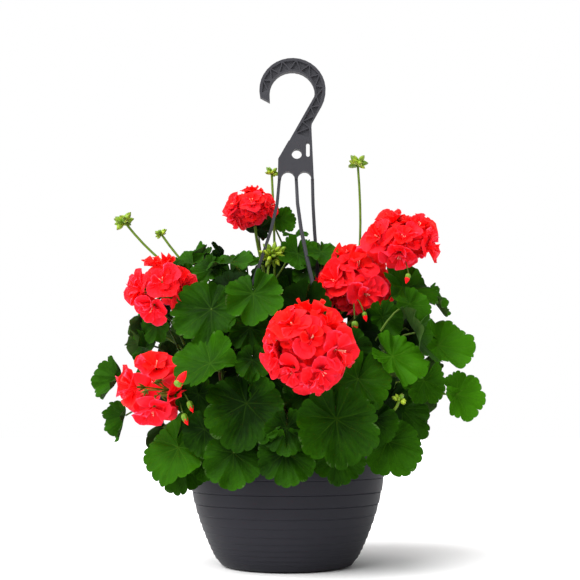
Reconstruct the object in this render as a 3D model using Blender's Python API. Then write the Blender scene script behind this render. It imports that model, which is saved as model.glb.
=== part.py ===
"""A hanging basket of red zonal geraniums, in metres, +Z up.

The origin is the centre of the pot's underside. The front, which most flowers face, is towards -Y.
Pieces: a banded plastic pot, its soil, a moulded plastic hanger, leafy shoots that stand in the soil
and carry leaves, flower stalks and green buds, and the red heads that sit on those stalks.
"""

import math
import random

import bmesh
import bpy
from mathutils import Matrix, Vector
from mathutils.bvhtree import BVHTree

MM = 0.001

# Pot: a tapering bowl of stacked bands, each of which overhangs the one below it.
POT_HEIGHT = 155 * MM
RIM_RADIUS = 125 * MM
TAPER = 42.5 * MM
TAPER_POWER = 2.1
FOOT_RADIUS = 78 * MM
FIRST_BAND = 9.2 * MM
FIRST_BAND_HEIGHT = 4.8 * MM
BAND_GROWTH = 1.15
BAND_STEP = 1.0 * MM
WALL = 2.2 * MM
LIP_WIDTH = 3.0 * MM
LIP_HEIGHT = 7.0 * MM
POT_SIDES = 20
DRAIN_COUNT = 5
DRAIN_RADIUS = 4 * MM
DRAIN_RING = 52 * MM

# Soil, a little below the rim.
GAP = 0.4 * MM
SOIL_TOP = 145 * MM
SOIL_RISE = 6 * MM
HOLE_DEPTH = 34 * MM

# Hanger: a flat moulded hook and neck in the X-Z plane, and three legs down to lugs inside the rim.
# It is one moulding, made here as five solids that meet at HOOK_SEAM and NECK_BOTTOM.
HOOK_OUTER = (7.3 * MM, 612 * MM, 44 * MM)
HOOK_INNER = (6.8 * MM, 607.5 * MM, 30 * MM)
HOOK_TIP = (-22.7 * MM, 595 * MM)
HANGER_DEPTH = 8 * MM
RIM_OF_RIB = 2.4 * MM
RIB_HALF = 0.8 * MM
POCKET_DEPTH = 2.6 * MM
TAG_HOLE = (12.9 * MM, 524 * MM, 6.7 * MM)
TAG_SLOT = (27.6 * MM, 530 * MM, 2.45 * MM, 10 * MM)
HOOK_SEAM = 542.5 * MM
NECK_BOTTOM = 490 * MM
ARCH_RADIUS = 9 * MM
ARCH_CENTRES = (1.3 * MM, 23.05 * MM)
LEG_WIDTH = 4.2 * MM
LEG_DEPTH = 4.0 * MM
LEG_RADIUS = 115.5 * MM
LEG_FOOT = 134 * MM
# For each leg: where it leaves the neck, its direction from the pot's axis in degrees, and the height down
# to which the front view shows it.
LEGS = ((-9.9 * MM, 183, 350 * MM), (12.2 * MM, -52, 318 * MM), (33.4 * MM, 58, 400 * MM))
LEG_DROP = 82 * MM
LEG_TURN = 0.62
BARB = (5 * MM, 3 * MM)
HANGER_NODES = ("hanger_hook", "hanger_neck", "hanger_leg_1", "hanger_leg_2", "hanger_leg_3")
LUG = (16 * MM, 12 * MM, 5 * MM)
LUG_TOP = 148 * MM

# Room that stays free of leaves and flowers, as the middle and the sides of boxes: for the bracket in the
# hook, and between the legs.
FREE_ROOMS = (
    ((7, 0, 600), (70, 60, 90)),
    ((1.2, 0, 459), (20, 22, 60)),
    ((25.5, 0, 459), (13, 22, 60)),
)

# Where the front view is seen from. Leaves and flowers are placed as that view shows them.
EYE = Vector((4 * MM, -1250 * MM, 157 * MM))

# The mound that the foliage makes: half its width, the height where it is widest, its rise and its fall.
MOUND_RADIUS = 185 * MM
MOUND_MIDDLE = 230 * MM
MOUND_RISE = 165 * MM
MOUND_FALL = 287 * MM
LAYER = 20 * MM
# Leaves from this layer inwards, and those of the sides and back, have 5 lobes in place of 7.
DEEP_LAYER = 0.85

BLADE = 0.8 * MM
PETAL = 0.8 * MM
CLEARANCE = 1.2 * MM
STALK_POINTS = 3
COLLAR = 1.6 * MM
# The petiole's half width, and what each of its points adds to it.
PETIOLE = 1.2 * MM
PETIOLE_GROWTH = 0.3 * MM
STALK_TURNS = (60, 180, 300)
SEED = 7

# Leaves at the front: across, up, radius, facing right, facing up, tip, layer.
# Across and up are millimetres on the upright plane through the pot's axis, as seen from the front.
# Facing is in degrees. The tip turns from straight down, with positive degrees towards the right.
# A layer of 0 is on the mound's surface, and each whole layer lies LAYER deeper.
FRONT_LEAVES = (
    (64, 168, 57, 5, 12, 5, -0.3),
    (-140, 136, 44, -12, 28, -15, -0.3),
    (131, 144, 45, 12, 15, 20, 0.0),
    (-105, 251, 45, -15, 35, -110, -0.1),
    (142, 254, 41, 15, 30, 60, -0.2),
    (201, 271, 41, 15, 35, 80, 0.0),
    (222, 208, 34, 25, 15, 70, 0.0),
    (-43, 332, 42, 5, 25, 0, 0.1),
    (162, 321, 27, 20, 30, 30, -0.2),
    (-105, 313, 50, -10, 22, -45, 0.8),
    (88, 222, 46, 5, 25, -20, 0.6),
    (172, 222, 33, 10, 25, -30, 0.35),
    (152, 185, 43, 30, 15, 45, 0.9),
    (-53, 188, 55, 0, 12, -10, 1.0),
    (-67, 129, 40, -5, 5, 0, 0.5),
    (-1, 130, 40, 0, 5, 0, 0.5),
    (64, 132, 39, 10, 5, 0, 0.9),
    (-132, 122, 40, -20, 5, -5, 0.8),
    (-44, 249, 25, 0, 5, 0, 1.1),
    (157, 344, 43, 25, 40, 60, 0.6),
    (192, 328, 24, 65, 25, 60, 0.3),
    (88, 394, 34, 10, 65, 40, 1.4),
    (-129, 378, 34, -20, 60, -60, 0.5),
    (-74, 380, 32, -10, 65, -20, 0.8),
    (-168, 295, 24, -25, 10, -20, 0.5),
    (-180, 262, 33, -60, 0, 0, 0.5),
    (-203, 218, 22, -75, 0, 0, 0.9),
    (-103, 122, 22, -15, 5, 0, 1.2),
    (-47, 289, 30, 0, 0, 0, 1.8),
    (-112, 204, 31, -15, 5, 0, 1.6),
    (28, 210, 35, 0, 5, 0, 1.9),
    (80, 264, 34, 0, 5, 0, 1.9),
    (0, 161, 32, 0, 5, 0, 1.6),
    (-20, 222, 34, 0, 0, 0, 2.4),
    (110, 172, 32, 10, 0, 0, 2.2),
    (-104, 160, 32, -10, 0, 0, 1.9),
)
# Leaves away from the mound: across, up, radius, facing right, facing up, tip, then how far in front of
# the pot's axis in millimetres, and how steeply each half of the blade rises from a fold along its middle.
LOOSE_LEAVES = (
    (-36, 421, 25, -10, 45, 20, -38, 0.5),
    (-6, 434, 20, 15, 15, 40, -28, 0.3),
    (11, 415, 20, 0, 70, 0, -25, 0.3),
    (-218, 229, 33, -45, 10, -70, 0, 0.5),
    (-206, 178, 30, -50, -10, -35, 0, 0.9),
    (46, 391, 23, 0, 45, 10, 4, 0),
    (14, 388, 28, -5, 40, 0, -10, 0),
    (21, 362, 15, 0, 10, 0, 4, 0),
    (4, 332, 33, 0, 15, 0, 8, 0),
    (-54, 378, 26, 0, 60, -10, -14, 0),
)
# The same for the leaves that are placed last.
EXTRA_LEAVES = (
    (-100, 368, 24, -10, 40, -20, 60, 0.3),
    (-128, 352, 26, -15, 35, -40, 70, 0.3),
    (-72, 362, 24, 0, 40, 10, 50, 0.3),
    (-150, 372, 20, -25, 45, -60, 40, 0.4),
    (-104, 386, 22, -5, 50, -20, 10, 0.4),
    (124, 303, 28, 10, 10, 10, 50, 0.2),
    (8, 132, 44, 180, 8, 0, -138, 0),
    (-78, 136, 42, -148, 10, 0, -112, 0),
    (90, 134, 42, 150, 10, 0, -104, 0),
)
# Leaves on the mound's sides, back and top: how many places are tried, in steps of MOUND_ORDER, and how many
# are kept.
MOUND_LEAVES = 120
MOUND_ORDER = 37
MOUND_LEAVES_KEPT = 27
MOUND_LEAF_RADII = (40, 51)
# The sight of a flower head that leaves keep out of: the share of its radius, and the sides of its cone.
SIGHT_SHARE = 0.62
SIGHT_SIDES = 8
FRONT_HEADS = 6

# Flower heads: across, up, radius, facing right, facing up, distance in front of the axis, flatness.
HEADS = (
    (26, 269, 63, 0, 10, 182, 1.0),
    (87, 353, 56, 0, 30, 4, 0.75),
    (149, 411, 52, 5, 50, 25, 0.55),
    (-46, 451, 38, -20, 60, -30, 0.75),
    (-162, 344, 46, -25, 15, 88, 0.85),
    (-170, 218, 51, -55, 5, 100, 0.78),
    (-84, 308, 48, -160, 35, -155, 0.75),
    (118, 312, 50, 150, 30, -150, 0.75),
)
# Each head's florets, as degrees to the right of the front and degrees upwards from the head's middle.
FLORETS = (
    ((4, 10), (-56, 36), (-68, -14), (52, 36), (76, -12), (-34, -42), (12, -62), (0, 88), (170, 10)),
    ((-40, 4), (8, 34), (68, -8), (20, -24), (-88, -14), (-30, 66), (150, 40)),
    ((-56, 6), (0, 8), (-14, -48), (64, -12), (54, 44), (-34, 60), (150, 10)),
    ((-58, 8), (0, 18), (62, 4), (0, 86), (-80, -40), (170, 10)),
    ((62, 6), (4, 14), (-60, 2), (-26, -48), (0, 76), (150, 0), (-130, 0)),
    ((6, 48), (-62, 2), (8, -50), (68, -22), (150, 20), (-150, -10)),
    ((165, 6), (-130, 6), (180, 72), (104, 16), (-160, -48)),
    ((150, 6), (-155, 4), (170, 72), (88, 10), (170, -50)),
)
# Green bud clusters: across, up, radius, leaning right, distance in front of the axis, buds.
BUD_CLUSTERS = (
    (-212, 434, 11, -38, 0, 7),
    (-164, 418, 7, -35, -20, 4),
    (93, 512, 11, -4, -66, 7),
    (-20, 499, 8, -3, -32, 5),
    (-19, 390, 15, 20, -4, 10),
    (143, 203, 7, 20, 132, 4),
)
# The cluster that leaves don't hide in the front view, counted from 0.
SHOWN_CLUSTER = 4
# The shoot that the stalk of a cluster grows on where it isn't the nearest, each counted from 0.
CLUSTER_SHOOTS = {2: 3, 3: 10}

# Shoots: direction in degrees and distance of the foot from the axis, then of the tip, and its height.
SHOOT_RADIUS = 3.6 * MM
SHOOTS = (
    (-90, 62, 104, 215),
    (-45, 66, 112, 235),
    (0, 62, 112, 230),
    (45, 66, 108, 240),
    (90, 62, 108, 230),
    (135, 66, 108, 240),
    (180, 62, 118, 225),
    (225, 66, 112, 235),
    (-70, 22, 62, 300),
    (20, 24, 66, 305),
    (110, 22, 56, 305),
    (200, 24, 62, 310),
)

LEAF_GREEN = (0.06, 0.19, 0.02, 1)
PETAL_RED = (0.85, 0.01, 0.01, 1)
SOIL_BROWN = (0.045, 0.028, 0.018, 1)
ANTHRACITE = (0.045, 0.044, 0.052, 1)


# Meshes and materials

def clear_scene():
    for obj in list(bpy.data.objects):
        bpy.data.objects.remove(obj)


def material(name, colour, roughness):
    """A Principled material, made once for each name."""
    found = bpy.data.materials.get(name)
    if found:
        return found
    made = bpy.data.materials.new(name)
    made.use_nodes = True
    shader = made.node_tree.nodes["Principled BSDF"]
    shader.inputs["Base Color"].default_value = colour
    shader.inputs["Roughness"].default_value = roughness
    shader.inputs["Metallic"].default_value = 0.0
    made.diffuse_color = colour
    return made


def mesh_object(name, solid, finish=None):
    """An object from a solid, which is a pair: its points, and its faces as lists of point numbers."""
    points, faces = solid
    mesh = bpy.data.meshes.new(name)
    mesh.from_pydata([tuple(p) for p in points], [], faces)
    made = bmesh.new()
    made.from_mesh(mesh)
    bmesh.ops.recalc_face_normals(made, faces=made.faces)
    made.to_mesh(mesh)
    made.free()
    obj = bpy.data.objects.new(name, mesh)
    bpy.context.scene.collection.objects.link(obj)
    if finish:
        mesh.materials.append(finish)
    return obj


def applied(obj):
    """Replaces the object's mesh by what its modifiers make of it, and removes them."""
    bpy.context.view_layer.update()
    graph = bpy.context.evaluated_depsgraph_get()
    mesh = bpy.data.meshes.new_from_object(obj.evaluated_get(graph))
    obj.modifiers.clear()
    obj.data = mesh
    return obj


def combine(obj, others, operation, solver="EXACT"):
    """Adds or cuts the others with one Boolean on their collection, then removes them."""
    group = bpy.data.collections.new(obj.name + "_others")
    bpy.context.scene.collection.children.link(group)
    for other in others:
        bpy.context.scene.collection.objects.unlink(other)
        group.objects.link(other)
    joined = obj.modifiers.new(operation, "BOOLEAN")
    joined.operation = operation
    joined.operand_type = "COLLECTION"
    joined.collection = group
    joined.solver = solver
    applied(obj)
    for other in others:
        bpy.data.objects.remove(other)
    bpy.data.collections.remove(group)
    return obj


def one_body(obj):
    """Keeps the largest closed surface: it drops loose scraps, and fills hollows that fusing has sealed."""
    made = bmesh.new()
    made.from_mesh(obj.data)
    left = set(made.verts)
    shells = []
    while left:
        shell = {left.pop()}
        front = list(shell)
        while front:
            here = front.pop()
            for edge in here.link_edges:
                there = edge.other_vert(here)
                if there in left:
                    left.discard(there)
                    shell.add(there)
                    front.append(there)
        shells.append(shell)
    shells.sort(key=len)
    bmesh.ops.delete(made, geom=[v for shell in shells[:-1] for v in shell], context="VERTS")
    made.to_mesh(obj.data)
    made.free()
    return len(shells) - 1


def smooth(obj, degrees):
    obj.data.shade_smooth()
    obj.data.set_sharp_from_angle(angle=math.radians(degrees))


# Simple solids

def turned(profile, sides):
    """A solid of revolution about Z. The profile runs from the axis out and back to the axis."""
    points = [Vector((0, 0, profile[0][1])), Vector((0, 0, profile[-1][1]))]
    rings = profile[1:-1]
    for radius, height in rings:
        for k in range(sides):
            angle = 2 * math.pi * k / sides
            points.append(Vector((radius * math.cos(angle), radius * math.sin(angle), height)))
    faces = []
    for k in range(sides):
        after = (k + 1) % sides
        faces.append([0, 2 + after, 2 + k])
        for ring in range(len(rings) - 1):
            low, high = 2 + ring * sides, 2 + (ring + 1) * sides
            faces.append([low + k, low + after, high + after, high + k])
        last = 2 + (len(rings) - 1) * sides
        faces.append([1, last + k, last + after])
    return points, faces


def extruded(outline, middle, depth):
    """A plate: an outline in X and Z, given its depth along Y about the middle."""
    count = len(outline)
    front = [Vector((x, middle - depth / 2, z)) for x, z in outline]
    back = [Vector((x, middle + depth / 2, z)) for x, z in outline]
    faces = [list(range(count)), list(range(2 * count - 1, count - 1, -1))]
    for k in range(count):
        after = (k + 1) % count
        faces.append([k, after, count + after, count + k])
    return front + back, faces


def box(centre, size, turn=0.0):
    """A box with its sides along X, Y and Z, turned about Z."""
    points = []
    for sx in (-1, 1):
        for sy in (-1, 1):
            for sz in (-1, 1):
                corner = Vector((sx * size[0] / 2, sy * size[1] / 2, sz * size[2] / 2))
                points.append(Vector(centre) + Matrix.Rotation(turn, 3, "Z") @ corner)
    faces = [[0, 1, 3, 2], [4, 6, 7, 5], [0, 4, 5, 1], [2, 3, 7, 6], [0, 2, 6, 4], [1, 5, 7, 3]]
    return points, faces


def swept(line, section):
    """A solid that follows a line of points. section(k, side, other) gives the outline round point k."""
    count = len(line)
    points = []
    side = None
    for k, here in enumerate(line):
        along = (line[min(k + 1, count - 1)] - line[max(k - 1, 0)]).normalized()
        if side is None:
            side = along.orthogonal().normalized()
        side = (side - along * side.dot(along)).normalized()
        points += [here + offset for offset in section(k, side, along.cross(side))]
    sides = len(points) // count
    faces = [list(range(sides)), list(range(len(points) - 1, len(points) - sides - 1, -1))]
    for k in range(count - 1):
        for j in range(sides):
            after = (j + 1) % sides
            low, high = k * sides, (k + 1) * sides
            faces.append([low + j, high + j, high + after, low + after])
    return points, faces


def tube(line, radii, sides):
    """A round stem, stalk or petiole of changing radius."""
    def section(k, side, other):
        turns = [2 * math.pi * j / sides for j in range(sides)]
        return [(side * math.cos(a) + other * math.sin(a)) * radii[k] for a in turns]
    return swept(line, section)


def curve(start, leaving, arriving, end, count):
    """Points along a cubic curve, with its two handles."""
    line = []
    for k in range(count):
        t = k / (count - 1)
        line.append((1 - t) ** 3 * start + 3 * (1 - t) ** 2 * t * leaving
                    + 3 * (1 - t) * t * t * arriving + t ** 3 * end)
    return line


def plate(middle, edge):
    """A thin closed plate: a fan on each face.

    Middle and each edge entry are a pair of points, upper and lower. An edge point whose pair is the same
    point pinches the plate there, as at the bottom of a notch.
    """
    points, upper, lower = [], [], []
    for above, below in [middle] + edge:
        upper.append(len(points))
        points.append(above)
        if (above - below).length > 0:
            points.append(below)
        lower.append(len(points) - 1)
    faces = []
    for k in range(1, len(upper)):
        after = 1 + k % len(edge)
        faces += [[upper[0], upper[after], upper[k]], [lower[0], lower[k], lower[after]]]
        faces += [[upper[k], upper[after], lower[after]], [upper[k], lower[after], lower[k]]]
    return points, [f for f in faces if len(set(f)) == 3], lower


def arc(centre_x, centre_z, radius, first, last, count):
    """Points in X and Z along an arc, with its angles in degrees."""
    angles = [math.radians(first + (last - first) * k / (count - 1)) for k in range(count)]
    return [(centre_x + radius * math.cos(a), centre_z + radius * math.sin(a)) for a in angles]


# Pot and soil

def pot_radius(height):
    """Outer radius of the pot's smooth taper at this height."""
    return RIM_RADIUS - TAPER * (1 - height / POT_HEIGHT) ** TAPER_POWER


def band_heights():
    """Heights where one band of the pot stands on the next, which grow taller towards the rim."""
    heights = [FIRST_BAND]
    step = FIRST_BAND_HEIGHT
    while heights[-1] + step < POT_HEIGHT - LIP_HEIGHT:
        heights.append(heights[-1] + step)
        step *= BAND_GROWTH
    return heights


def inner_profile(shrink):
    """The inside of the pot from the top down to its floor, or a body that fits in it with a gap."""
    levels = [SOIL_TOP, 95 * MM, 45 * MM, 6 * MM]
    sides = [(pot_radius(z) - BAND_STEP - WALL - shrink, z) for z in levels]
    return sides + [(FOOT_RADIUS - WALL - 2 * shrink, WALL + shrink), (0, WALL + shrink)]


def make_pot():
    profile = [(0, 0), (FOOT_RADIUS, 0), (pot_radius(5 * MM) - BAND_STEP, 5 * MM)]
    for height in band_heights():
        profile.append((pot_radius(height) - BAND_STEP / 2, height - 0.3 * MM))
        profile.append((pot_radius(height) + BAND_STEP / 2, height + 0.5 * MM))
    lip = POT_HEIGHT - LIP_HEIGHT
    profile += [(RIM_RADIUS, lip), (RIM_RADIUS + LIP_WIDTH, lip + 1 * MM)]
    profile.append((RIM_RADIUS + LIP_WIDTH, POT_HEIGHT - 1 * MM))
    profile.append((RIM_RADIUS + LIP_WIDTH - 1.5 * MM, POT_HEIGHT))
    profile += [(RIM_RADIUS - WALL, POT_HEIGHT)] + inner_profile(0)
    pot = mesh_object("pot", turned(profile, POT_SIDES), material("pot_plastic", ANTHRACITE, 0.5))
    lugs, cuts = [], []
    for _, degrees, _ in LEGS:
        turn = math.radians(degrees)
        outwards = Vector((math.cos(turn), math.sin(turn), 0))
        middle = outwards * (LEG_RADIUS + 1.5 * MM)
        lugs.append(mesh_object("lug", box(middle + Vector((0, 0, LUG_TOP - LUG[2] / 2)),
                                           (LUG[1], LUG[0], LUG[2]), turn)))
        hole = (LEG_DEPTH + 2 * GAP, LEG_WIDTH + 2 * GAP, 4 * LUG[2])
        centre = outwards * LEG_RADIUS + Vector((0, 0, LUG_TOP))
        cuts.append(mesh_object("lug_hole", box(centre, hole, turn)))
    combine(pot, lugs, "UNION")
    for k in range(DRAIN_COUNT):
        angle = 2 * math.pi * k / DRAIN_COUNT
        middle = Vector((DRAIN_RING * math.cos(angle), DRAIN_RING * math.sin(angle), 0))
        line = [middle - Vector((0, 0, WALL)), middle + Vector((0, 0, 2 * WALL))]
        cuts.append(mesh_object("drain", tube(line, [DRAIN_RADIUS] * 2, 6)))
    combine(pot, cuts, "DIFFERENCE")
    smooth(pot, 30)


def soil_height(radius):
    return SOIL_TOP + SOIL_RISE * (1 - (radius / RIM_RADIUS) ** 2)


def make_soil(feet):
    """The soil, with a plain hole for each shoot and room under each leg of the hanger."""
    profile = [(0, soil_height(0)), (45 * MM, soil_height(45 * MM)), (90 * MM, soil_height(90 * MM))]
    profile += inner_profile(GAP)
    profile.reverse()
    soil = mesh_object("potting_soil", turned(profile, POT_SIDES), material("soil", SOIL_BROWN, 0.9))
    cuts = []
    for foot in feet:
        line = [foot, foot + Vector((0, 0, 3 * HOLE_DEPTH))]
        line[0] = foot - Vector((0, 0, GAP))
        cuts.append(mesh_object("hole", tube(line, [SHOOT_RADIUS + 3 * GAP] * 2, 6)))
    for _, degrees, _ in LEGS:
        turn = math.radians(degrees)
        middle = Vector((math.cos(turn), math.sin(turn), 0)) * (LEG_RADIUS + 6 * MM)
        room = (30 * MM, LUG[0] + 2 * MM, 40 * MM)
        cuts.append(mesh_object("lug_room", box(middle + Vector((0, 0, SOIL_TOP + 2 * MM)), room, turn)))
    combine(soil, cuts, "DIFFERENCE")
    smooth(soil, 30)


# Hanger

def hook_outline():
    """The hook, its shank and the neck with the two arches between the legs, as points in X and Z."""
    ox, oz, outer = HOOK_OUTER
    ix, iz, inner = HOOK_INNER
    left, right = ARCH_CENTRES
    arch_z = NECK_BOTTOM + 1.5 * MM
    outline = [HOOK_TIP]
    outline += arc(ox, oz, outer, 193, -28, 22)
    outline += [(33 * MM, 567.3 * MM), (32.3 * MM, 560.5 * MM), (35.2 * MM, NECK_BOTTOM)]
    outline += [(right + ARCH_RADIUS, NECK_BOTTOM)] + arc(right, arch_z, ARCH_RADIUS, 0, 180, 8)
    outline += [(right - ARCH_RADIUS, NECK_BOTTOM), (left + ARCH_RADIUS, NECK_BOTTOM)]
    outline += arc(left, arch_z, ARCH_RADIUS, 0, 180, 8) + [(left - ARCH_RADIUS, NECK_BOTTOM)]
    outline += [(-12 * MM, NECK_BOTTOM), (-11.5 * MM, 517.5 * MM)]
    outline += [(33.4 * MM, 597.6 * MM), (36 * MM, 602.3 * MM)]
    outline += arc(ix, iz, inner, 0, 180, 16)
    return outline


def zigzag():
    """Corners of the ribs that cross the hook from rim to rim, and on down the shank."""
    ox, oz, outer = HOOK_OUTER
    ix, iz, inner = HOOK_INNER
    corners = []
    for k, degrees in enumerate(range(200, -20, -13)):
        if k % 2:
            corners.append(arc(ox, oz, outer - RIM_OF_RIB, degrees, degrees, 2)[0])
        else:
            corners.append(arc(ix, iz, inner + RIM_OF_RIB, degrees, degrees, 2)[0])
    shank = ((43.5, 590), (31.2, 588), (36.5, 576), (20, 568), (29.8, 560), (10.5, 552), (29.6, 545))
    return corners[1:] + [(x * MM, z * MM) for x, z in shank]


def inset(corners, distance):
    """A triangle whose sides are moved in by a distance, or None where that leaves too little."""
    a, b, c = (Vector(p) for p in corners)
    if (b - a).cross(c - a) < 0:
        b, c = c, b
    lengths = ((c - b).length, (a - c).length, (b - a).length)
    around = sum(lengths)
    middle = (a * lengths[0] + b * lengths[1] + c * lengths[2]) / around
    radius = abs((b - a).cross(c - a)) / around
    if radius < distance + 0.9 * MM:
        return None
    share = 1 - distance / radius
    return [tuple(middle + (p - middle) * share) for p in (a, b, c)]


def leg_line(start_x, degrees):
    """The middle of one leg, from just under the neck down to below its lug."""
    turn = math.radians(degrees)
    foot = Vector((LEG_RADIUS * math.cos(turn), LEG_RADIUS * math.sin(turn), LUG_TOP + 12 * MM))
    start = Vector((start_x, 0, NECK_BOTTOM))
    leaving = start - Vector((0, 0, LEG_DROP))
    arriving = start.lerp(foot, LEG_TURN) + Vector((0, 0, 8 * MM))
    line = curve(start, leaving, arriving, foot, 9)
    line[0].z -= GAP
    return line + [Vector((foot.x, foot.y, LEG_FOOT))]


def make_leg(name, start_x, degrees):
    """A leg of nearly square section, which turns from the neck's plane to face the pot's axis."""
    line = leg_line(start_x, degrees)
    last = math.radians((degrees + 45) % 90 - 45)
    swap = round((degrees - math.degrees(last)) / 90) % 2 == 0

    def section(k, side, other):
        turn = Matrix.Rotation(last * k / (len(line) - 1), 3, "Z")
        half_x, half_y = (LEG_DEPTH / 2, LEG_WIDTH / 2) if swap else (LEG_WIDTH / 2, LEG_DEPTH / 2)
        return [turn @ Vector((x * half_x, y * half_y, 0)) for x, y in ((-1, -1), (1, -1), (1, 1), (-1, 1))]
    leg = mesh_object(name, swept(line, section), material("hanger_plastic", ANTHRACITE, 0.45))
    turn = math.radians(degrees)
    foot = line[-1]
    barb = box(foot + Vector((0, 0, 1.2 * MM)), (LEG_DEPTH, LEG_WIDTH + BARB[0], BARB[1]), turn)
    combine(leg, [mesh_object("barb", barb)], "UNION")
    smooth(leg, 30)


def hook_cuts():
    """The pockets between the ribs on both faces of the hook and its shank."""
    cuts = []
    corners = zigzag()
    for k in range(len(corners) - 2):
        pocket = inset(corners[k:k + 3], RIB_HALF)
        for side in (-1, 1) if pocket else ():
            cuts.append(mesh_object("pocket", extruded(pocket, side * HANGER_DEPTH / 2, 2 * POCKET_DEPTH)))
    return cuts


def neck_cuts():
    """The round hole and the slot."""
    x, z, radius = TAG_HOLE
    cuts = [mesh_object("tag_hole", extruded(arc(x, z, radius, 0, 345, 24), 0, 3 * HANGER_DEPTH))]
    x, z, half_width, half_length = TAG_SLOT
    ends = arc(x, z + half_length - half_width, half_width, 0, 180, 6)
    ends += arc(x, z - half_length + half_width, half_width, 180, 360, 6)
    cuts.append(mesh_object("tag_slot", extruded(ends, 0, 3 * HANGER_DEPTH)))
    return cuts


def make_hanger():
    """The hook and the neck are cut from the same flat shape, each by a block over the other's half."""
    hook_name, neck_name = HANGER_NODES[:2]
    size = (200 * MM, 3 * HANGER_DEPTH, 200 * MM)
    for name, cuts, low_end in ((hook_name, hook_cuts(), True), (neck_name, neck_cuts(), False)):
        finish = material("hanger_plastic", ANTHRACITE, 0.45)
        plate_piece = mesh_object(name, extruded(hook_outline(), 0, HANGER_DEPTH), finish)
        away = -size[2] / 2 if low_end else size[2] / 2 - GAP
        cuts.append(mesh_object("half", box(Vector((0, 0, HOOK_SEAM + away)), size)))
        combine(plate_piece, cuts, "DIFFERENCE")
        smooth(plate_piece, 30)
    for name, (start_x, degrees, _) in zip(HANGER_NODES[2:], LEGS):
        make_leg(name, start_x, degrees)


# Clearance between the pieces

def sight_of_leg(start_x, degrees, lowest):
    """A fan from the eye to the part of a leg that shows, which leaves keep out of."""
    line = [point.lerp(EYE, 0.006) for point in leg_line(start_x, degrees) if point.z > lowest]
    return [EYE] + line, [[0, k, k + 1] for k in range(1, len(line))]


def sight_of_ball(centre, radius):
    """A cone with spokes from the eye to the front of a round thing, which leaves keep out of."""
    towards = (EYE - centre).normalized()
    side = towards.orthogonal().normalized()
    other = towards.cross(side)
    middle = centre + towards * 1.05 * radius
    turns = [2 * math.pi * k / SIGHT_SIDES for k in range(SIGHT_SIDES)]
    wide = SIGHT_SHARE * radius
    ring = [middle + (side * math.cos(a) + other * math.sin(a)) * wide for a in turns]
    faces = [[0, 1 + k, 1 + (k + 1) % SIGHT_SIDES] for k in range(SIGHT_SIDES)]
    faces += [[0, 1 + k, 1 + k + SIGHT_SIDES // 2] for k in range(SIGHT_SIDES // 2)]
    return [EYE] + ring, faces


class Placed:
    """What has been placed so far, so that what comes next can be kept clear of it."""

    def __init__(self):
        self.items = []

    def add(self, node, kind, solid):
        points, faces = solid
        low = Vector(min(p[i] for p in points) for i in range(3))
        high = Vector(max(p[i] for p in points) for i in range(3))
        self.items.append((node, kind, low, high, BVHTree.FromPolygons(points, faces)))

    def meets(self, solid, allowed=None):
        """Whether the solid meets anything, apart from items that allowed(node, kind) lets through."""
        points, faces = solid
        low = Vector(min(p[i] for p in points) for i in range(3))
        high = Vector(max(p[i] for p in points) for i in range(3))
        tree = None
        for node, kind, item_low, item_high, item_tree in self.items:
            if allowed and allowed(node, kind):
                continue
            if any(low[i] > item_high[i] or high[i] < item_low[i] for i in range(3)):
                continue
            tree = tree or BVHTree.FromPolygons(points, faces)
            if tree.overlap(item_tree):
                return True
        return False


def solid_of(obj):
    mesh = obj.data
    return [v.co.copy() for v in mesh.vertices], [list(p.vertices) for p in mesh.polygons]


# Places on the mound and as seen from the front

def seen(across, up, in_front):
    """A point that the front view shows at across and up, at a distance in front of the pot's axis."""
    on_plane = Vector((across, 0, up))
    return on_plane + (EYE - on_plane) * (in_front / -EYE.y)


def mound_radius(height):
    if height < MOUND_MIDDLE:
        return MOUND_RADIUS * math.sqrt(1 - ((MOUND_MIDDLE - height) / MOUND_FALL) ** 2)
    return MOUND_RADIUS * max(0, 1 - ((height - MOUND_MIDDLE) / MOUND_RISE) ** 3) ** (1 / 3)


def mound_front(across, up, layer):
    """How far in front of the axis the mound's surface is, less the layers above this one."""
    radius = mound_radius(up)
    return math.sqrt(max(0, radius ** 2 - across ** 2)) * 0.97 - layer * LAYER


def facing(right, up):
    """The direction that a leaf or flower faces, from degrees to the right of the front and upwards."""
    yaw, pitch = math.radians(right), math.radians(up)
    return Vector((math.sin(yaw) * math.cos(pitch), -math.cos(yaw) * math.cos(pitch), math.sin(pitch)))


def blade_frame(normal, tip_degrees):
    """Axes of a blade: X across it, Y to its tip and Z out of its upper face."""
    down = Vector((0, 0, -1)) if abs(normal.z) < 0.98 else Vector((0, -1, 0))
    down = (down - normal * down.dot(normal)).normalized()
    right = normal.cross(down)
    tip = math.radians(tip_degrees)
    forward = down * math.cos(tip) + right * math.sin(tip)
    return Matrix((forward.cross(normal), forward, normal)).transposed()


# Leaves

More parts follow.
